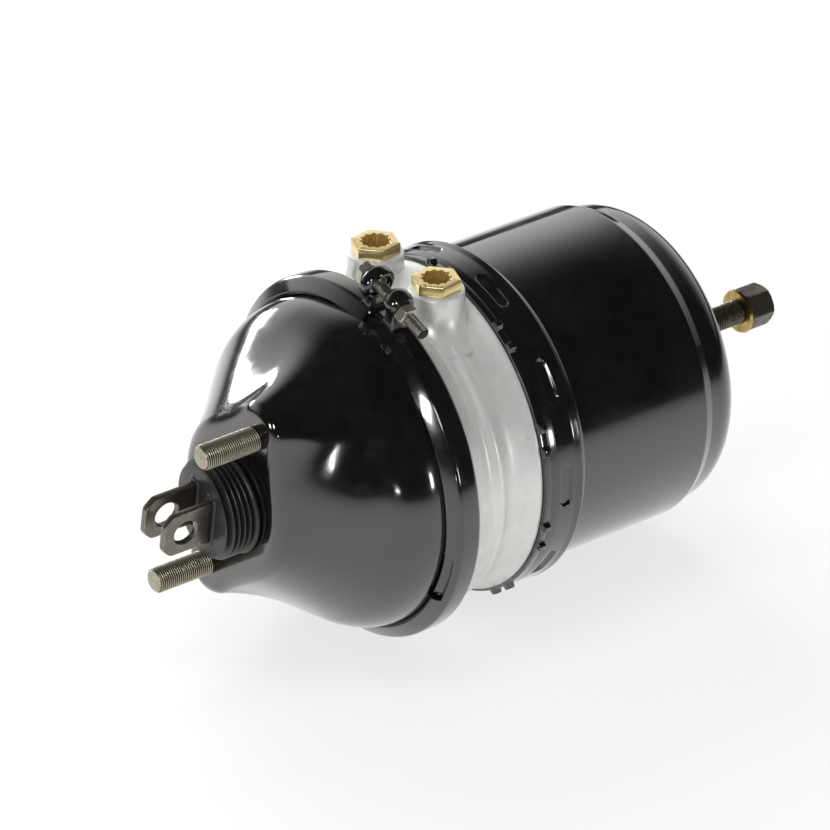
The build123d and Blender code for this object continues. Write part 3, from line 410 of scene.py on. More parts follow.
two_tone("bellows_rubber", (0.010, 0.0105, 0.012), (0.020, 0.021, 0.023), 0.30, 0.42, 0.0, 70.0, 0.8, 1100.0,
         0.00002)
two_tone("seal_rubber", (0.012, 0.012, 0.013), (0.024, 0.024, 0.026), 0.42, 0.55, 0.0, 70.0, 1.0, 1100.0, 0.00003)
two_tone("port_brass", (0.84, 0.64, 0.27), (0.95, 0.79, 0.42), 0.17, 0.28, 0.85, 220.0, 0.5, 2600.0, 0.000002)
two_tone("cast_aluminium", (0.70, 0.71, 0.69), (0.86, 0.86, 0.83), 0.32, 0.44, 0.45, 46.0, 0.6, 1500.0, 0.00002)
print("finishes:", len(finishes))

# %% [markdown]
# ## Surfaces from grids of points
#
# Nearly every piece here is round, so it is a grid: one direction runs along a profile and the other runs round an
# axis.  A grid needs no modelling by hand.  Its points come from a formula, and its faces follow from the order of
# the points.  Sizes are in millimetres, as on the drawing of the real piece, until the mesh is made.

# %% Grids, profiles and pieces
full_turn = 2 * np.pi


def grid_faces(rows, columns, closed_rows, closed_columns):
    """Quads between neighbouring points of a grid stored row after row, joined end to end where it is closed."""
    down = np.arange(rows if closed_rows else rows - 1)
    along = np.arange(columns if closed_columns else columns - 1)
    i, j = np.meshgrid(down, along, indexing="ij")
    next_i, next_j = (i + 1) % rows, (j + 1) % columns
    return np.stack([i * columns + j, i * columns + next_j, next_i * columns + next_j, next_i * columns + j], -1
                    ).reshape(-1, 4)


def make_piece(name, grids, slot, body, replaced, crisp=35.0):
    """One object from grids of points in millimetres.  Each grid is (points, rows closed, columns closed), where
    points has the shape rows, columns, 3.  Doubled points at poles are merged and the faces turned outwards."""
    points, faces, count = [], [], 0
    for grid, closed_rows, closed_columns in grids:
        rows, columns = grid.shape[:2]
        points.append(grid.reshape(-1, 3) * MM)
        faces.append(grid_faces(rows, columns, closed_rows, closed_columns) + count)
        count += rows * columns
    mesh = bpy.data.meshes.new(name)
    mesh.from_pydata(np.concatenate(points).tolist(), [], np.concatenate(faces).tolist())
    work = bmesh.new()
    work.from_mesh(mesh)
    bmesh.ops.remove_doubles(work, verts=work.verts, dist=1e-6)
    bmesh.ops.recalc_face_normals(work, faces=work.faces)
    work.to_mesh(mesh)
    work.free()
    mesh.shade_smooth()
    mesh.set_sharp_from_angle(angle=np.radians(crisp))
    made = bpy.data.objects.new(name, mesh)
    bpy.context.scene.collection.objects.link(made)
    mesh.materials.append(finishes[slot])
    if body:
        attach(made, body)
    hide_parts(*replaced)
    print(name, len(mesh.polygons), "faces")
    return made


def rounded_path(corners, radii, step=12.0):
    """A polyline whose corners are arcs.  At each corner the arc's centre lies on the bisector, its tangent points
    are radius / tan(half the inner angle) from the corner, and a point is put every step degrees."""
    corners = np.array(corners, float)
    path = [corners[:1]]
    for before, corner, after, radius in zip(corners, corners[1:], corners[2:], radii):
        back, ahead = before - corner, after - corner
        back, ahead = back / np.linalg.norm(back), ahead / np.linalg.norm(ahead)
        half = np.arccos(np.clip(back @ ahead, -1, 1)) / 2
        if radius <= 0 or half > 1.565:
            path.append(corner[None])
            continue
        middle = (back + ahead) / np.linalg.norm(back + ahead)
        centre = corner + middle * radius / np.sin(half)
        start = corner + back * radius / np.tan(half) - centre
        turn = np.pi - 2 * half
        turn *= np.sign(start[0] * ahead[1] - start[1] * ahead[0])
        angles = np.linspace(0, turn, max(3, int(np.degrees(abs(turn)) / step) + 2))
        spun = np.stack([np.cos(angles) * start[0] - np.sin(angles) * start[1],
                         np.sin(angles) * start[0] + np.cos(angles) * start[1]], -1)
        path.append(centre + spun)
    path.append(corners[-1:])
    return np.concatenate(path)


def eased(share):
    """The share held between 0 and 1, with soft ends: s^2 (3 - 2 s)."""
    share = np.clip(share, 0, 1)
    return share * share * (3 - 2 * share)


def turned(profile, columns):
    """The surface that a profile of (radius, y) sweeps round the chamber's axis: x = r cos t, z = r sin t."""
    turn = np.linspace(0, full_turn, columns, endpoint=False)
    radius, y = profile[:, 0, None], profile[:, 1, None]
    return np.stack([radius * np.cos(turn), y + 0 * turn, radius * np.sin(turn)], -1)


# %% [markdown]
# ## The service housing
#
# On the real part this is one sheet of steel, drawn into a 45 degree dome with a raised oval nose.  A drawn sheet
# has no sharp inside corner, so dome and nose flow into each other.  We write both as distance functions, melt them
# together with a smooth minimum, and then find the surface along rays that start on the axis: along each ray the
# distance changes sign once, and repeated halving finds that place to a thousandth of a millimetre.

# %% Housing as a distance function
wall = 3.5
dome_front = 41.0
dome_radius = 105.5
dome_depth = 64.3
dome_shoulder = 42.0
nose_reach = 65.0
nose_end_radius = 18.0
nose_middle_radius = 39.0
nose_growth = 0.24
nose_edge = 6.0
nose_blend = 26.0
rod_opening = 21.0


def smaller(first, second, blend):
    """Smooth minimum: the lesser of two distances, less a hump of blend / 4 where they are equal."""
    near = np.clip(1 - np.abs(first - second) / blend, 0, 1)
    return np.minimum(first, second) - near * near * blend / 4


def both_sides(first, second, radius):
    """Intersection of two solids with a rounded edge: near the edge, the length of the two overshoots."""
    over = np.hypot(np.maximum(first + radius, 0), np.maximum(second + radius, 0)) - radius
    return np.where((first > -radius) & (second > -radius), over, np.maximum(first, second))


def dome_distance(radius, y):
    """Distance to the dome: a cone and a side wall, joined by an arc about the point where both, moved inwards by
    the arc's radius, would meet."""
    slope = np.arctan2(dome_depth, dome_radius - dome_front)
    flank = (radius - dome_front) * np.sin(slope) - y * np.cos(slope)
    side = radius - dome_radius
    centre_r = dome_radius - dome_shoulder
    centre_y = ((centre_r - dome_front) * np.sin(slope) + dome_shoulder) / np.cos(slope)
    right, ahead = radius - centre_r, y - centre_y
    in_arc = (ahead < 0) & (right * np.cos(slope) + ahead * np.sin(slope) > 0)
    return np.where(in_arc, np.hypot(right, ahead) - dome_shoulder, np.maximum(flank, side))


def nose_distance(x, y, z):
    """Distance to the nose: the hull of three circles on the studs' line, which grows with depth.  Beside the
    middle circle it is that circle's distance, past the end it is the end circle's, and between them a line's."""
    along = np.abs(x * np.sin(stud_line) + z * np.cos(stud_line))
    beside = np.abs(x * np.cos(stud_line) - z * np.sin(stud_line))
    tilt = (nose_middle_radius - nose_end_radius) / nose_reach
    upright = np.sqrt(1 - tilt * tilt)
    place = along * upright - beside * tilt
    line = along * tilt + beside * upright - nose_middle_radius
    past_end = np.where(place > nose_reach * upright, np.hypot(along - nose_reach, beside) - nose_end_radius, line)
    hull = np.where(place < 0, np.hypot(along, beside) - nose_middle_radius, past_end)
    return (hull - nose_growth * y) / np.hypot(1, nose_growth)


def housing_distance(x, y, z):
    """Distance to the whole outside: dome and nose melted together, both cut by the flat mounting face."""
    return both_sides(smaller(dome_distance(np.hypot(x, z), y), nose_distance(x, y, z), nose_blend), -y, nose_edge)


ray_start, ray_near, ray_far = 60.0, 20.0, 180.0
halvings = 26


def housing_skin(angles, turn, inset):
    """Points of the surface that lies inset millimetres inside the housing.  A ray leaves (0, ray_start, 0) at each
    angle from -Y, in the half plane of each turn, and the root of the distance on it is found by halving."""
    side, ahead = np.sin(angles)[:, None] * np.ones_like(turn), -np.cos(angles)[:, None] * np.ones_like(turn)
    near, far = np.full(side.shape, ray_near), np.full(side.shape, ray_far)
    for _ in range(halvings):
        middle = (near + far) / 2
        inside = housing_distance(middle * side * np.cos(turn), ray_start + middle * ahead,
                                  middle * side * np.sin(turn)) < -inset
        near, far = np.where(inside, middle, near), np.where(inside, far, middle)
    return np.stack([near * side * np.cos(turn), ray_start + near * ahead, near * side * np.sin(turn)], -1)


# %% Housing mesh
housing_columns = 384
outer_rows = 170
inner_rows = 36
flange_front, flange_radius = 88.1, 111.5
last_ring = 83.0

turn = np.linspace(0, full_turn, housing_columns, endpoint=False)
hole_angle = np.arctan2(rod_opening, ray_start)
last_angle = np.pi - np.arctan2(dome_radius, last_ring - ray_start)
outside = housing_skin(np.linspace(hole_angle, last_angle, outer_rows), turn, 0.0)
inner_hole_angle = np.arctan2(rod_opening, ray_start - wall)
inside = housing_skin(np.linspace(last_angle, inner_hole_angle, inner_rows), turn, wall)
flange = turned(rounded_path([(dome_radius, last_ring + 0.5), (dome_radius, flange_front),
                              (flange_radius, flange_front), (flange_radius, flange_front + wall),
                              (dome_radius - wall, flange_front + wall)], [3.0, 0.8, 0.8]), housing_columns)
make_piece("housing_shell", [(np.concatenate([outside, flange, inside]), True, True)],
           "gloss_black_paint", "chamber", ["service_housing"], crisp=50.0)

# %% [markdown]
# ## Rings about any axis
#
# Bolts, bosses, hexagons and the fork's ears don't lie on the chamber's axis.  They are rings too: each ring has a
# radius, which may change with the angle, and a distance along its own axis.  A thread is the same idea with a
# radius that depends on both: the crest moves one pitch along the axis for each turn.

# %% Ring helpers
def about(centre, direction, first, rows, turn):
    """A grid of rings about any axis.  Angle zero points along first.  Each row is (radius, distance along the
    axis), and either may be one number or one number for each angle."""
    along = np.array(direction, float) / np.linalg.norm(direction)
    right = np.array(first, float) - along * np.dot(first, along)
    right /= np.linalg.norm(right)
    up = np.cross(along, right)
    radius = np.array([np.broadcast_to(row[0], turn.shape) for row in rows])[..., None]
    distance = np.array([np.broadcast_to(row[1], turn.shape) for row in rows])[..., None]
    spokes = np.cos(turn)[:, None] * right + np.sin(turn)[:, None] * up
    return np.array(centre, float) + radius * spokes + distance * along


def on_axis(rows, turn):
    """The same about the chamber's own axis."""
    return about((0, 0, 0), (0, 1, 0), (1, 0, 0), rows, turn)


def circle(columns):
    """Evenly spaced angles of one turn."""
    return np.linspace(0, full_turn, columns, endpoint=False)


def thread(start, end, major, depth, pitch, turn, lead_in, steps=8):
    """Rows of a screw thread from start to end.  The groove's depth is a triangle wave of
    distance / pitch - angle / 360 degrees, with its crest and root cut flat, and the first turn is bevelled."""
    rows = []
    for place in np.arange(start, end, pitch / steps):
        wave = np.abs(2 * ((place / pitch - turn / full_turn) % 1) - 1)
        groove = depth * np.clip(1.35 * wave - 0.18, 0, 1)
        rows.append((np.minimum(major - groove, major - lead_in + (place - start)), place))
    return rows


def hexagon(turn, flat, corner=0.0):
    """Radius of a hexagon at each angle: flat / cos of the angle from the nearest flat's middle."""
    sector = full_turn / 6
    return flat / np.cos((turn - corner) % sector - sector / 2)


def with_corners(turn, corner=0.0):
    """Angles that also hold a hexagon's corners, so that its edges stay sharp."""
    corners = (corner + np.arange(6) * full_turn / 6) % full_turn
    return np.unique(np.round(np.concatenate([turn, corners]), 9))


def rounded_rectangle(half_width, half_height, corner, steps=6):
    """A closed loop of points round a rectangle, anticlockwise, with an arc at each corner."""
    loop = []
    for quarter, (right, up) in enumerate([(1, 1), (-1, 1), (-1, -1), (1, -1)]):
        angles = np.pi / 2 * (quarter + np.linspace(0, 1, steps))
        centre = np.array([right * (half_width - corner), up * (half_height - corner)])
        loop.append(centre + corner * np.stack([np.cos(angles), np.sin(angles)], -1))
    return np.concatenate(loop)


def loft(stations, first, second):
    """A grid through closed loops.  Each station is (centre, loop), and the loop's two coordinates run along first
    and second."""
    first, second = np.array(first, float), np.array(second, float)
    return np.array([np.array(centre, float) + loop[:, :1] * first + loop[:, 1:] * second
                     for centre, loop in stations])


# %% [markdown]
# ## Studs
#
# Both studs have a fine thread, 1.5 mm from crest to crest, right up to the nose, and a bevelled tip.

# %% Studs
stud_reach = 39.5
stud_radius = 8.0
stud_turn = circle(40)
stud_rows = ([(0.0, -stud_reach), (5.4, -stud_reach)]
             + thread(-stud_reach, 0.2, stud_radius, 0.92, 1.5, stud_turn, 1.3)
             + [(8.0, 0.4), (8.5, 0.5), (8.5, 9.9), (12.0, 9.9), (12.0, 15.9), (0.0, 15.9)])
stud_direction = np.array([np.sin(stud_line), 0, np.cos(stud_line)])
studs = [(about(side * stud_spacing / 2 * stud_direction, (0, 1, 0), (1, 0, 0), stud_rows, stud_turn), False, True)
         for side in (1, -1)]
make_piece("threaded_studs", studs, "stud_steel", "chamber", ["mounting_studs"], crisp=40.0)

# %% [markdown]
# ## Bellows
#
# The rubber has a bulging cap with a raised collar round each ear of the fork, four narrow folds and a thick bead
# at its foot.  The cap leans a little, because the rubber settles unevenly.

# %% Bellows
fold_pitch = 4.1
fold_front = -21.4
fold_end = fold_front + 4 * fold_pitch
fold_root, fold_rise = 28.4, 3.6
bead_radius = 32.9
cap_set_back, cap_lean = 3.6, 0.11
fold_places = np.linspace(fold_front, fold_end, 49)
fold_waves = 0.5 + 0.5 * np.cos(full_turn * (fold_places - fold_front) / fold_pitch)
folds = np.stack([fold_root + fold_rise * (1 - fold_waves) ** 0.7, fold_places], -1)
cap = rounded_path([(0.0, -25.1), (20.0, -25.1), (28.0, -24.7), (31.4, -23.4), (fold_root, fold_front)],
                   [40.0, 12.0, 1.6])
foot = rounded_path([(fold_root, fold_end), (bead_radius, fold_end + 1.8), (bead_radius, -0.2), (24.0, -0.2)],
                    [2.4, 1.2])


def leaning(points):
    """Bellows points moved along y by share * (set back - lean * x), where share is 1 at the first fold and 0 at
    the last."""
    points = np.array(points, float)
    share = np.clip((points[..., 1] - fold_end) / (fold_front - fold_end), 0, 1)
    points[..., 1] += share * (cap_set_back - cap_lean * points[..., 0])
    return points


bellows_skin = leaning(turned(np.concatenate([cap, folds[1:-1], foot]), 144))

fork_turn = np.radians(10.0)
fork_across = np.array([np.cos(fork_turn), 0, -np.sin(fork_turn)])
fork_upright = np.array([np.sin(fork_turn), 0, np.cos(fork_turn)])
ear_thickness = 4.5
ear_half_height = 15.0
ear_offset = 10.0
collar_steps = ((4.2, -24.2), (3.6, -25.0), (2.9, -25.7), (2.1, -26.0), (1.2, -25.9), (0.7, -25.5), (0.3, -24.9),
                (0.1, -23.5))
collars = []
for side in (-1, 1):
    stations = [(side * ear_offset * fork_across + np.array([0, y, 0]),
                 rounded_rectangle(ear_thickness / 2 + out, ear_half_height + out, out + 0.4))
                for out, y in collar_steps]
    collars.append((leaning(loft(stations, fork_across, fork_upright)), False, True))
bellows = make_piece("bellows_skin", [(bellows_skin, False, True)] + collars, "bellows_rubber", None, ["bellows"],
                     crisp=60.0)
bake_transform(bellows)

# %% [markdown]
# ## Fork
#
# Each ear is a plate with a pin hole and two cut corners.  Seen along the pin, its outline is the nearest of a few
# straight edges at each angle round the hole, so the ear is a grid of rings about the pin.  A power mean with a high
# negative power takes the nearest edge and softens the corners: (sum of d^-n)^(-1/n).

# %% Fork
pin_position = -41.5
pin_radius = 8.0
ear_tip = -57.6
ear_corner = 6.0
ear_bevel = 0.9
ear_sharpness = 26.0
fork_base = (-14.0, -8.0)
edge_directions = np.radians([180, 90, 270, 0, 135, 225])
corner_reach = (ear_half_height + (pin_position - ear_tip) - ear_corner) / np.sqrt(2)
edge_distances = np.array([pin_position - ear_tip, ear_half_height, ear_half_height, fork_base[1] - pin_position,
                           corner_reach, corner_reach])
ear_turn = circle(256)
facing = np.cos(ear_turn[:, None] - edge_directions)
ear_outline = np.where(facing > 1e-6, edge_distances / np.maximum(facing, 1e-6), 1e6)
ear_outline = np.sum(ear_outline ** -ear_sharpness, axis=1) ** (-1 / ear_sharpness)
half = ear_thickness / 2
ear_rows = [(pin_radius, half - ear_bevel), (pin_radius + ear_bevel, half), (ear_outline - ear_bevel, half),
            (ear_outline - 0.25 * ear_bevel, half - 0.25 * ear_bevel), (ear_outline, half - ear_bevel)]
ear_rows += [(radius, -place) for radius, place in reversed(ear_rows)]
ears = [(about(side * ear_offset * fork_across + np.array([0, pin_position, 0]), fork_across, (0, 1, 0), ear_rows,
               ear_turn), True, True) for side in (-1, 1)]
base_loop = rounded_rectangle(ear_offset + half, ear_half_height, 1.5)
base = loft([((0, y, 0), base_loop * scale) for y, scale in ((fork_base[0], 0.0), (fork_base[0], 1.0),
                                                             (fork_base[1], 1.0), (fork_base[1], 0.0))],
            fork_across, fork_upright)
make_piece("fork_ears", ears + [(base, False, True)], "fork_steel", "push_rod", ["fork"], crisp=30.0)

# %% [markdown]
# ## Clamp band
#
# The band is a V-section that runs round the two flanges from one lug to the other.  Its section is a closed loop
# of (radius, y), the same at every angle but for a notch in the front flank, where the flank is cut back.

# %% Band
band_radius = 116.5
band_wall = 2.5
lip_radius = 108.0
lip_half_width = 12.6
flat_half_width = 6.65
band_gap_angle = 74.6
band_gap_half = 3.2
notch_start, notch_end, notch_side = 330.0, 349.5, 1.2
notch_share = 0.42

side_steps = notch_side * np.linspace(-1, 1, 5)
band_angles = np.unique(np.concatenate([
    np.linspace(band_gap_angle + band_gap_half, band_gap_angle + 360 - band_gap_half, 420),
    notch_start + side_steps, notch_end + side_steps]))
from_notch = np.minimum(band_angles - notch_start, notch_end - band_angles)
in_notch = eased(from_notch / notch_side + 0.5)


def band_section(reach):
    """The band's section when its front flank has only this share of its length."""
    front_r = band_radius - (band_radius - lip_radius) * reach
    front_y = flat_half_width + (lip_half_width - flat_half_width) * reach
    skin = band_wall * 0.8
    return rounded_path([(front_r - skin, -front_y + 1.2), (front_r, -front_y), (band_radius, -flat_half_width),
                         (band_radius, flat_half_width), (lip_radius, lip_half_width),
                         (lip_radius - skin, lip_half_width - 1.2), (band_radius - band_wall, flat_half_width - 1.2),
                         (band_radius - band_wall, -flat_half_width + 1.2), (front_r - skin, -front_y + 1.2)],
                        [0.9, 3.4, 3.4, 0.9, 0.6, 1.0, 1.0])[:-1]


whole, cut = band_section(1.0), band_section(notch_share)
sections = whole[:, None] * (1 - in_notch)[None, :, None] + cut[:, None] * in_notch[None, :, None]
spread = np.radians(band_angles)
band_grid = np.stack([sections[..., 0] * np.cos(spread), clamp_centre + sections[..., 1],
                      sections[..., 0] * np.sin(spread)], -1)
ends = [np.repeat(band_grid[:, k].mean(0)[None, None], len(band_grid), 0) for k in (0, -1)]
band_grid = np.concatenate([ends[0], band_grid, ends[1]], axis=1)

# %% [markdown]
# Each end of the band rises as a broad neck.  One carries a rolled eye, the other a ball with a flat face for the
# nut.  The clamp bolt runs through both, along a tangent of the band.

# %% Lugs
bolt_along = np.array([np.sin(bolt_angle), 0, -np.cos(bolt_angle)])
bolt_out = np.array([np.cos(bolt_angle), 0, np.sin(bolt_angle)])
bolt_foot = bolt_height * bolt_out + np.array([0, clamp_centre, 0])
eye_place, eye_outer, eye_hole = -20.5, 11.4, 7.0
ball_place, ball_rise, ball_radius = 1.6, 2.6, 9.0

eye_rows = [(eye_hole, -2.2), (eye_hole + 0.6, -3.7), (eye_hole + 1.7, -4.4), (eye_outer - 1.2, -4.0),
            (eye_outer - 0.3, -3.0), (eye_outer, -1.4)]
eye_rows += [(radius, -place) for radius, place in reversed(eye_rows)]
eye = about(bolt_foot + eye_place * bolt_along, bolt_along, bolt_out, eye_rows, circle(72))

tilt = np.linspace(0, np.pi, 25)
ball_rows = list(zip(ball_radius * np.sin(tilt), np.minimum(-ball_radius * np.cos(tilt), 0.62 * ball_radius)))
ball_middle = bolt_foot + ball_place * bolt_along + ball_rise * bolt_out
ball = about(ball_middle, bolt_along, bolt_out, ball_rows, circle(64))


def neck(angle, foot_radius, top, foot_size, top_size):
    """A neck from the band at this angle to a place beside the bolt: rectangles that turn from one to the other."""
    angle = np.radians(angle)
    foot = np.array([foot_radius * np.cos(angle), clamp_centre, foot_radius * np.sin(angle)])
    stations = []
    for share in np.linspace(0, 1, 9):
        waist = 1 - 0.16 * np.sin(np.pi * share)
        size = np.array(foot_size) * (1 - share) + np.array(top_size) * share
        stations.append((foot * (1 - share) + top * share,
                         rounded_rectangle(size[0] * waist, size[1] * waist, 1.6 * waist)))
    return loft(stations, bolt_along, (0, 1, 0))


eye_neck = neck(79.8, 114.0, bolt_foot + eye_place * bolt_along - 7.4 * bolt_out, (5.6, 7.4), (3.8, 7.6))
ball_neck = neck(69.4, 114.0, bolt_foot + (ball_place - 0.4) * bolt_along + bolt_out, (5.6, 7.4), (4.6, 6.4))
make_piece("clamp_band_rolled", [(band_grid, True, False), (eye, True, True), (ball, False, True),
                                 (eye_neck, False, True), (ball_neck, False, True)],
           "gloss_black_paint", "chamber", ["clamp_band"], crisp=38.0)

# %% Clamp bolt and nut
bolt_turn = circle(36)
bolt_flat = 6.5
head_start, tip = -33.5, 28.8
hexagon_turn = with_corners(circle(96))
head_outline = hexagon(hexagon_turn, bolt_flat)
head_rows = [(0.0, head_start), (5.6, head_start), (np.minimum(head_outline, 6.9), head_start + 0.45),
             (head_outline, head_start + 1.1), (head_outline, head_start + 5.5), (0.0, head_start + 5.5)]
bolt_rows = [(0.0, head_start + 5.0), (4.0, head_start + 5.0)]
thread_rows = thread(-tip, -head_start - 7.0, 4.1, 0.85, 1.5, bolt_turn, 0.7)
thread_rows = [(radius, -place) for radius, place in reversed(thread_rows)]
bolt_rows += thread_rows + [(2.6, tip), (0.0, tip)]
make_piece("clamp_bolt_threaded", [(about(bolt_foot, bolt_along, bolt_out, head_rows, hexagon_turn), False, True),
                                   (about(bolt_foot, bolt_along, bolt_out, bolt_rows, bolt_turn), False, True)],
           "bolt_zinc", "chamber", ["clamp_bolt"])
nut_start, nut_end = 7.2, 14.2
nut_cone = np.minimum(head_outline, 7.0)
nut_rows = [(4.1, nut_start), (5.9, nut_start), (nut_cone, nut_start + 0.45), (head_outline, nut_start + 1.0),
            (head_outline, nut_end - 1.0), (nut_cone, nut_end - 0.45), (5.9, nut_end), (4.1, nut_end)]
make_piece("clamp_nut_bright", [(about(bolt_foot, bolt_along, (0, 1, 0), nut_rows, hexagon_turn), True, True)],
           "bolt_zinc", "chamber", ["clamp_nut"])

# %% [markdown]
# ## Flange body
#
# The casting is turned: a bright land beside the band, a shallow step, a rib between two hollows, and a rise to the
# lock ring.  The two port bosses are trumpets: below the height where the flare starts, the radius grows along a
# quarter arc, r(z) = boss + fullness * (flare - sqrt(flare^2 - (start - z)^2)), until the foot meets the drum.  The
# fullness falls towards the lock ring, where there is little room.

# %% Casting
casting = rounded_path([(92.0, 104.0), (100.0, 96.4), (111.3, 96.4), (111.3, 101.9), (104.0, 107.2), (104.0, 116.8),
                        (102.7, 118.0), (101.2, 122.6), (105.0, 128.6), (100.9, 137.0), (104.6, 150.5),
                        (106.7, 155.8), (106.7, 157.6), (105.8, 157.6), (105.8, 187.8), (97.8, 187.8),
                        (97.8, 120.5), (33.0, 120.5), (33.0, 158.0), (24.8, 158.0), (24.8, 108.4), (92.0, 108.4)],
                       [0, 0, 0.6, 0, 0.8, 0.8, 5.0, 4.5, 14.0, 16.0, 1.2, 0.4, 0, 0.4, 0.4, 0, 0, 0, 0, 0], step=8)
boss_radius, flare_radius, flare_start, boss_height = 17.5, 26.0, 107.0, 116.0
port_y, port_offset = 134.3, 30.4
fall = np.linspace(23.4, 0, 24)[:, None]
boss_turn = circle(160)
boss_top_rows = [(boss_radius, 114.4), (boss_radius - 0.35, 115.3), (boss_radius - 1.0, 115.85),
                 (boss_radius - 1.9, boss_height), (11.1, boss_height), (11.1, 104.0), (0.0, 104.0)]
fullness = 1 - 0.62 * np.clip((np.sin(boss_turn) + 0.05) / 0.75, 0, 1) ** 1.2
flare = boss_radius + fullness * (flare_radius - np.sqrt(flare_radius ** 2 - fall ** 2))
boss_rows = ([(boss_radius + 6.0, 74.0), (boss_radius + 10.0 * fullness, 80.0)]
             + list(zip(flare, flare_start - fall[:, 0])) + boss_top_rows)
bosses = [(about((side * port_offset, port_y, 0), (0, 0, 1), (1, 0, 0), boss_rows, boss_turn), False, True)
          for side in (-1, 1)]
web = loft([((0, port_y, z), rounded_rectangle(28.0 - inset, 12.0 - inset, 3.0)) for inset, z in
            ((0.0, 96.0), (0.4, 104.6), (1.0, 105.7), (2.0, 106.2), (2.9, 106.3))]
           + [((0, port_y, 106.3), rounded_rectangle(28.0, 12.0, 3.0) * 0.0)], (1, 0, 0), (0, 1, 0))
make_piece("flange_casting", [(turned(casting, 400), True, True)] + bosses + [(web, False, True)],
           "cast_aluminium", "chamber", ["flange_body"], crisp=32.0)

# %% [markdown]
# ## Port fittings
#
# A fitting is a hexagon on the boss with a threaded bore.  The bore's mouth is scalloped by twelve small circles
# that sit on its edge: near the middle of a scallop, the radius is the far side of that circle.

# %% Fittings
hexagon_flat, hexagon_corner = 13.5, np.radians(40.0)
bore_radius, scallop_radius, scallop_count = 8.4, 1.25, 12
fitting_turn = with_corners(circle(288), corner=hexagon_corner)
fitting_outline = hexagon(fitting_turn, hexagon_flat, corner=hexagon_corner)
scallop_step = full_turn / scallop_count
off_middle = (fitting_turn + scallop_step / 2) % scallop_step - scallop_step / 2
reach = np.maximum(scallop_radius ** 2 - (bore_radius * np.sin(off_middle)) ** 2, 0)
scalloped = np.maximum(bore_radius * np.cos(off_middle) + np.sqrt(reach), bore_radius)
fitting_foot, fitting_top = 116.05, 123.0
shank_radius, shank_end = 10.9, fitting_foot - 11.5
flute_end = fitting_top - 9.0
groove_depth = 0.4
fitting_rows = [(shank_radius, shank_end), (shank_radius, fitting_foot), (fitting_outline - 0.3, fitting_foot),
                (fitting_outline, fitting_foot + 0.3), (fitting_outline, fitting_top - 0.5),
                (fitting_outline - 0.2, fitting_top - 0.12), (fitting_outline - 0.6, fitting_top),
                (scalloped + 0.35, fitting_top), (scalloped, fitting_top - 0.35), (scalloped, flute_end),
                (bore_radius, flute_end - 0.2)]
bore_thread = thread(0, 9.0, bore_radius + groove_depth, groove_depth, 1.5, fitting_turn, -1.0, steps=6)
fitting_rows += [(radius, flute_end - 0.4 - place) for radius, place in bore_thread]
fitting_rows += [(bore_radius, shank_end)]
for name, x in (("service_port_fitting", -port_offset), ("spring_port_fitting", port_offset)):
    fitting = about((x, port_y, 0), (0, 0, 1), (1, 0, 0), fitting_rows, fitting_turn)
    make_piece(name + "_brass", [(fitting, True, True)], "port_brass", "chamber", [name], crisp=28.0)

# %% [markdown]
# ## Lock ring
#
# A flat ring with ten pairs of teeth.  Its outline is a circle that steps up to the teeth's height wherever the arc
# length from the nearest tooth's middle is less than half a tooth.

# %% Lock ring
ring_front, ring_rear = 157.8, 162.8
ring_bore, ring_radius = 106.1, 109.0
tooth_height, tooth_half_width, tooth_side = 3.0, 3.5, 1.9
pair_start, pair_step, tooth_gap = 18.0, 36.0, 4.2

ring_turn = circle(1080)
from_pair = (np.degrees(ring_turn) - pair_start + pair_step / 2) % pair_step - pair_step / 2
from_tooth = np.radians(np.abs(np.abs(from_pair) - tooth_gap)) * (ring_radius + tooth_height)
ring_outline = ring_radius + tooth_height * eased((tooth_half_width - from_tooth) / tooth_side)
ring_rows = [(ring_bore, ring_front), (ring_outline - 0.6, ring_front), (ring_outline - 0.15, ring_front + 0.2),
             (ring_outline, ring_front + 0.7), (ring_outline, ring_rear - 0.7), (ring_outline - 0.15, ring_rear - 0.2),
             (ring_outline - 0.6, ring_rear), (ring_bore, ring_rear)]
make_piece("lock_ring_toothed", [(on_axis(ring_rows, -ring_turn), True, True)],
           "gloss_black_paint", "chamber", ["lock_ring"], crisp=40.0)

# %% [markdown]
# ## Spring cylinder
#
# The can is turned, but ten obround pockets are pressed into its front.  The distance to an obround is the distance
# to a short straight line less a radius, here measured on the unrolled skin: along the circumference and along the
# axis.  The skin sinks by a smooth step of that distance.

# %% Can
can_radius, front_radius = 102.7, 109.1
pocket_y, pocket_first, pocket_step = 174.5, -0.5, 36.0
pocket_half_length, pocket_half_width, pocket_depth, pocket_side = 14.75, 4.5, 1.9, 1.5
can_turn = circle(720)

skin_front = rounded_path([(106.2, 163.6), (106.3, 163.0), (front_radius, 163.0), (front_radius, 168.6)], [0, 1.0])
skin_pockets = np.stack([np.full(30, front_radius), np.linspace(168.9, 180.1, 30)], -1)
skin_rest = rounded_path([(front_radius, 180.4), (front_radius, 182.2), (110.0, 186.6), (can_radius, 192.8),
                          (can_radius, 290.4), (99.4, 297.4), (96.5, 325.0), (12.1, 325.0), (12.1, 322.0),
                          (93.5, 322.0), (96.3, 297.6), (99.7, 290.8), (99.7, 189.8), (106.2, 188.2)],
                         [5.0, 1.6, 3.4, 4.5, 5.0, 22.0, 0.3, 0, 19.0, 2.0, 5.0, 2.0])
can_profile = np.concatenate([skin_front, skin_pockets, skin_rest])
can_skin = np.broadcast_to(can_profile[:, :1], (len(can_profile), len(can_turn))).copy()
along_skin = (np.degrees(can_turn) - pocket_first + pocket_step / 2) % pocket_step - pocket_step / 2
along_skin = np.radians(along_skin) * front_radius
beyond_line = np.maximum(np.abs(along_skin) - (pocket_half_length - pocket_half_width), 0)
pocket_rows = slice(len(skin_front) - 1, len(skin_front) + len(skin_pockets) + 1)
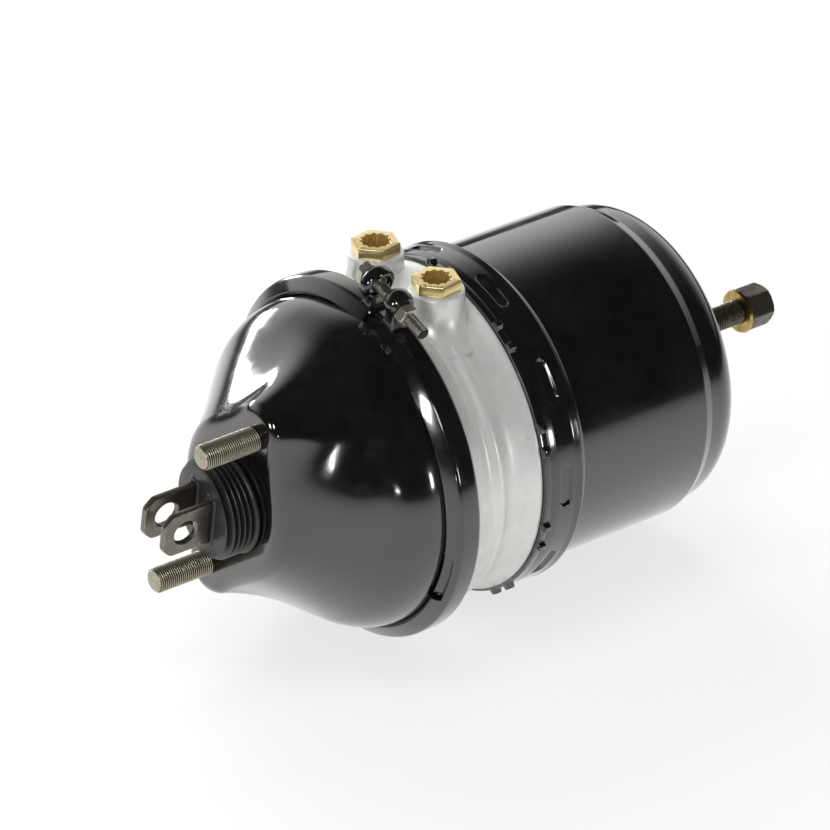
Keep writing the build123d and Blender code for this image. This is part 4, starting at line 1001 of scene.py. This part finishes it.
from_pocket = np.hypot(beyond_line[None], can_profile[pocket_rows, 1:] - pocket_y) - pocket_half_width
can_skin[pocket_rows] -= pocket_depth * eased(-from_pocket / pocket_side)
can = np.stack([can_skin * np.cos(can_turn), can_profile[:, 1:] + 0 * can_turn, can_skin * np.sin(can_turn)], -1)
make_piece("spring_can", [(can, True, True)], "gloss_black_paint", "chamber", ["spring_cylinder"], crisp=45.0)

# %% [markdown]
# ## Release bolt
#
# The long bolt stands wound out of the can, with a coarse dark thread, a gold ring and a hexagon at its end.  The
# hexagon's corners are cut by a cone, which leaves the curved edge that every machined nut has.

# %% Release bolt, ring and hexagon
release_radius, release_pitch = 8.0, 2.0
release_turn = circle(32)
release_rows = ([(0.0, 239.4), (11.0, 239.4), (11.0, 245.4), (7.2, 245.4)]
                + thread(245.6, 402.0, release_radius, 1.05, release_pitch, release_turn, 0.8)
                + [(7.9, 402.4), (7.9, 420.9), (7.3, 421.5), (0.0, 421.5)])
make_piece("release_bolt_threaded", [(on_axis(release_rows, release_turn), False, True)],
           "release_steel", "release_screw", ["release_bolt"], crisp=45.0)

release_hexagon = with_corners(circle(144))
release_outline = hexagon(release_hexagon, 12.0)
cone = 12.35
release_hex_rows = [(8.0, 402.5), (11.2, 402.5), (np.minimum(release_outline, cone), 402.9),
                    (np.minimum(release_outline, cone + 0.9), 403.6), (release_outline, 404.4),
                    (release_outline, 419.4), (np.minimum(release_outline, cone + 1.0), 420.3),
                    (np.minimum(release_outline, cone), 421.0), (11.4, 421.5), (8.0, 421.5)]
make_piece("release_hexagon", [(on_axis(release_hex_rows, release_hexagon), True, True)],
           "release_steel", "release_screw", ["release_hex"], crisp=26.0)

gold_rows = rounded_path([(8.2, 399.8), (14.5, 399.8), (14.5, 402.3), (8.2, 402.3)], [0.8, 0.8])
make_piece("release_ring", [(turned(gold_rows, 96), True, True)],
           "washer_brass", "release_screw", ["release_washer"])

# %% [markdown]
# ## Everything else
#
# The pieces inside the housings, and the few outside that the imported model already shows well, keep their own
# meshes.  Each gets the finish that the record names for it.

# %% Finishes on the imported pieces
packed_slots = {entry["node"]: entry["material_slot"] for entry in frame["record"]["subparts"]}
for name, piece in frame["nodes"].items():
    piece.data.materials.clear()
    piece.data.materials.append(finishes[packed_slots[name]])
print("packed pieces dressed:", len(frame["nodes"]))
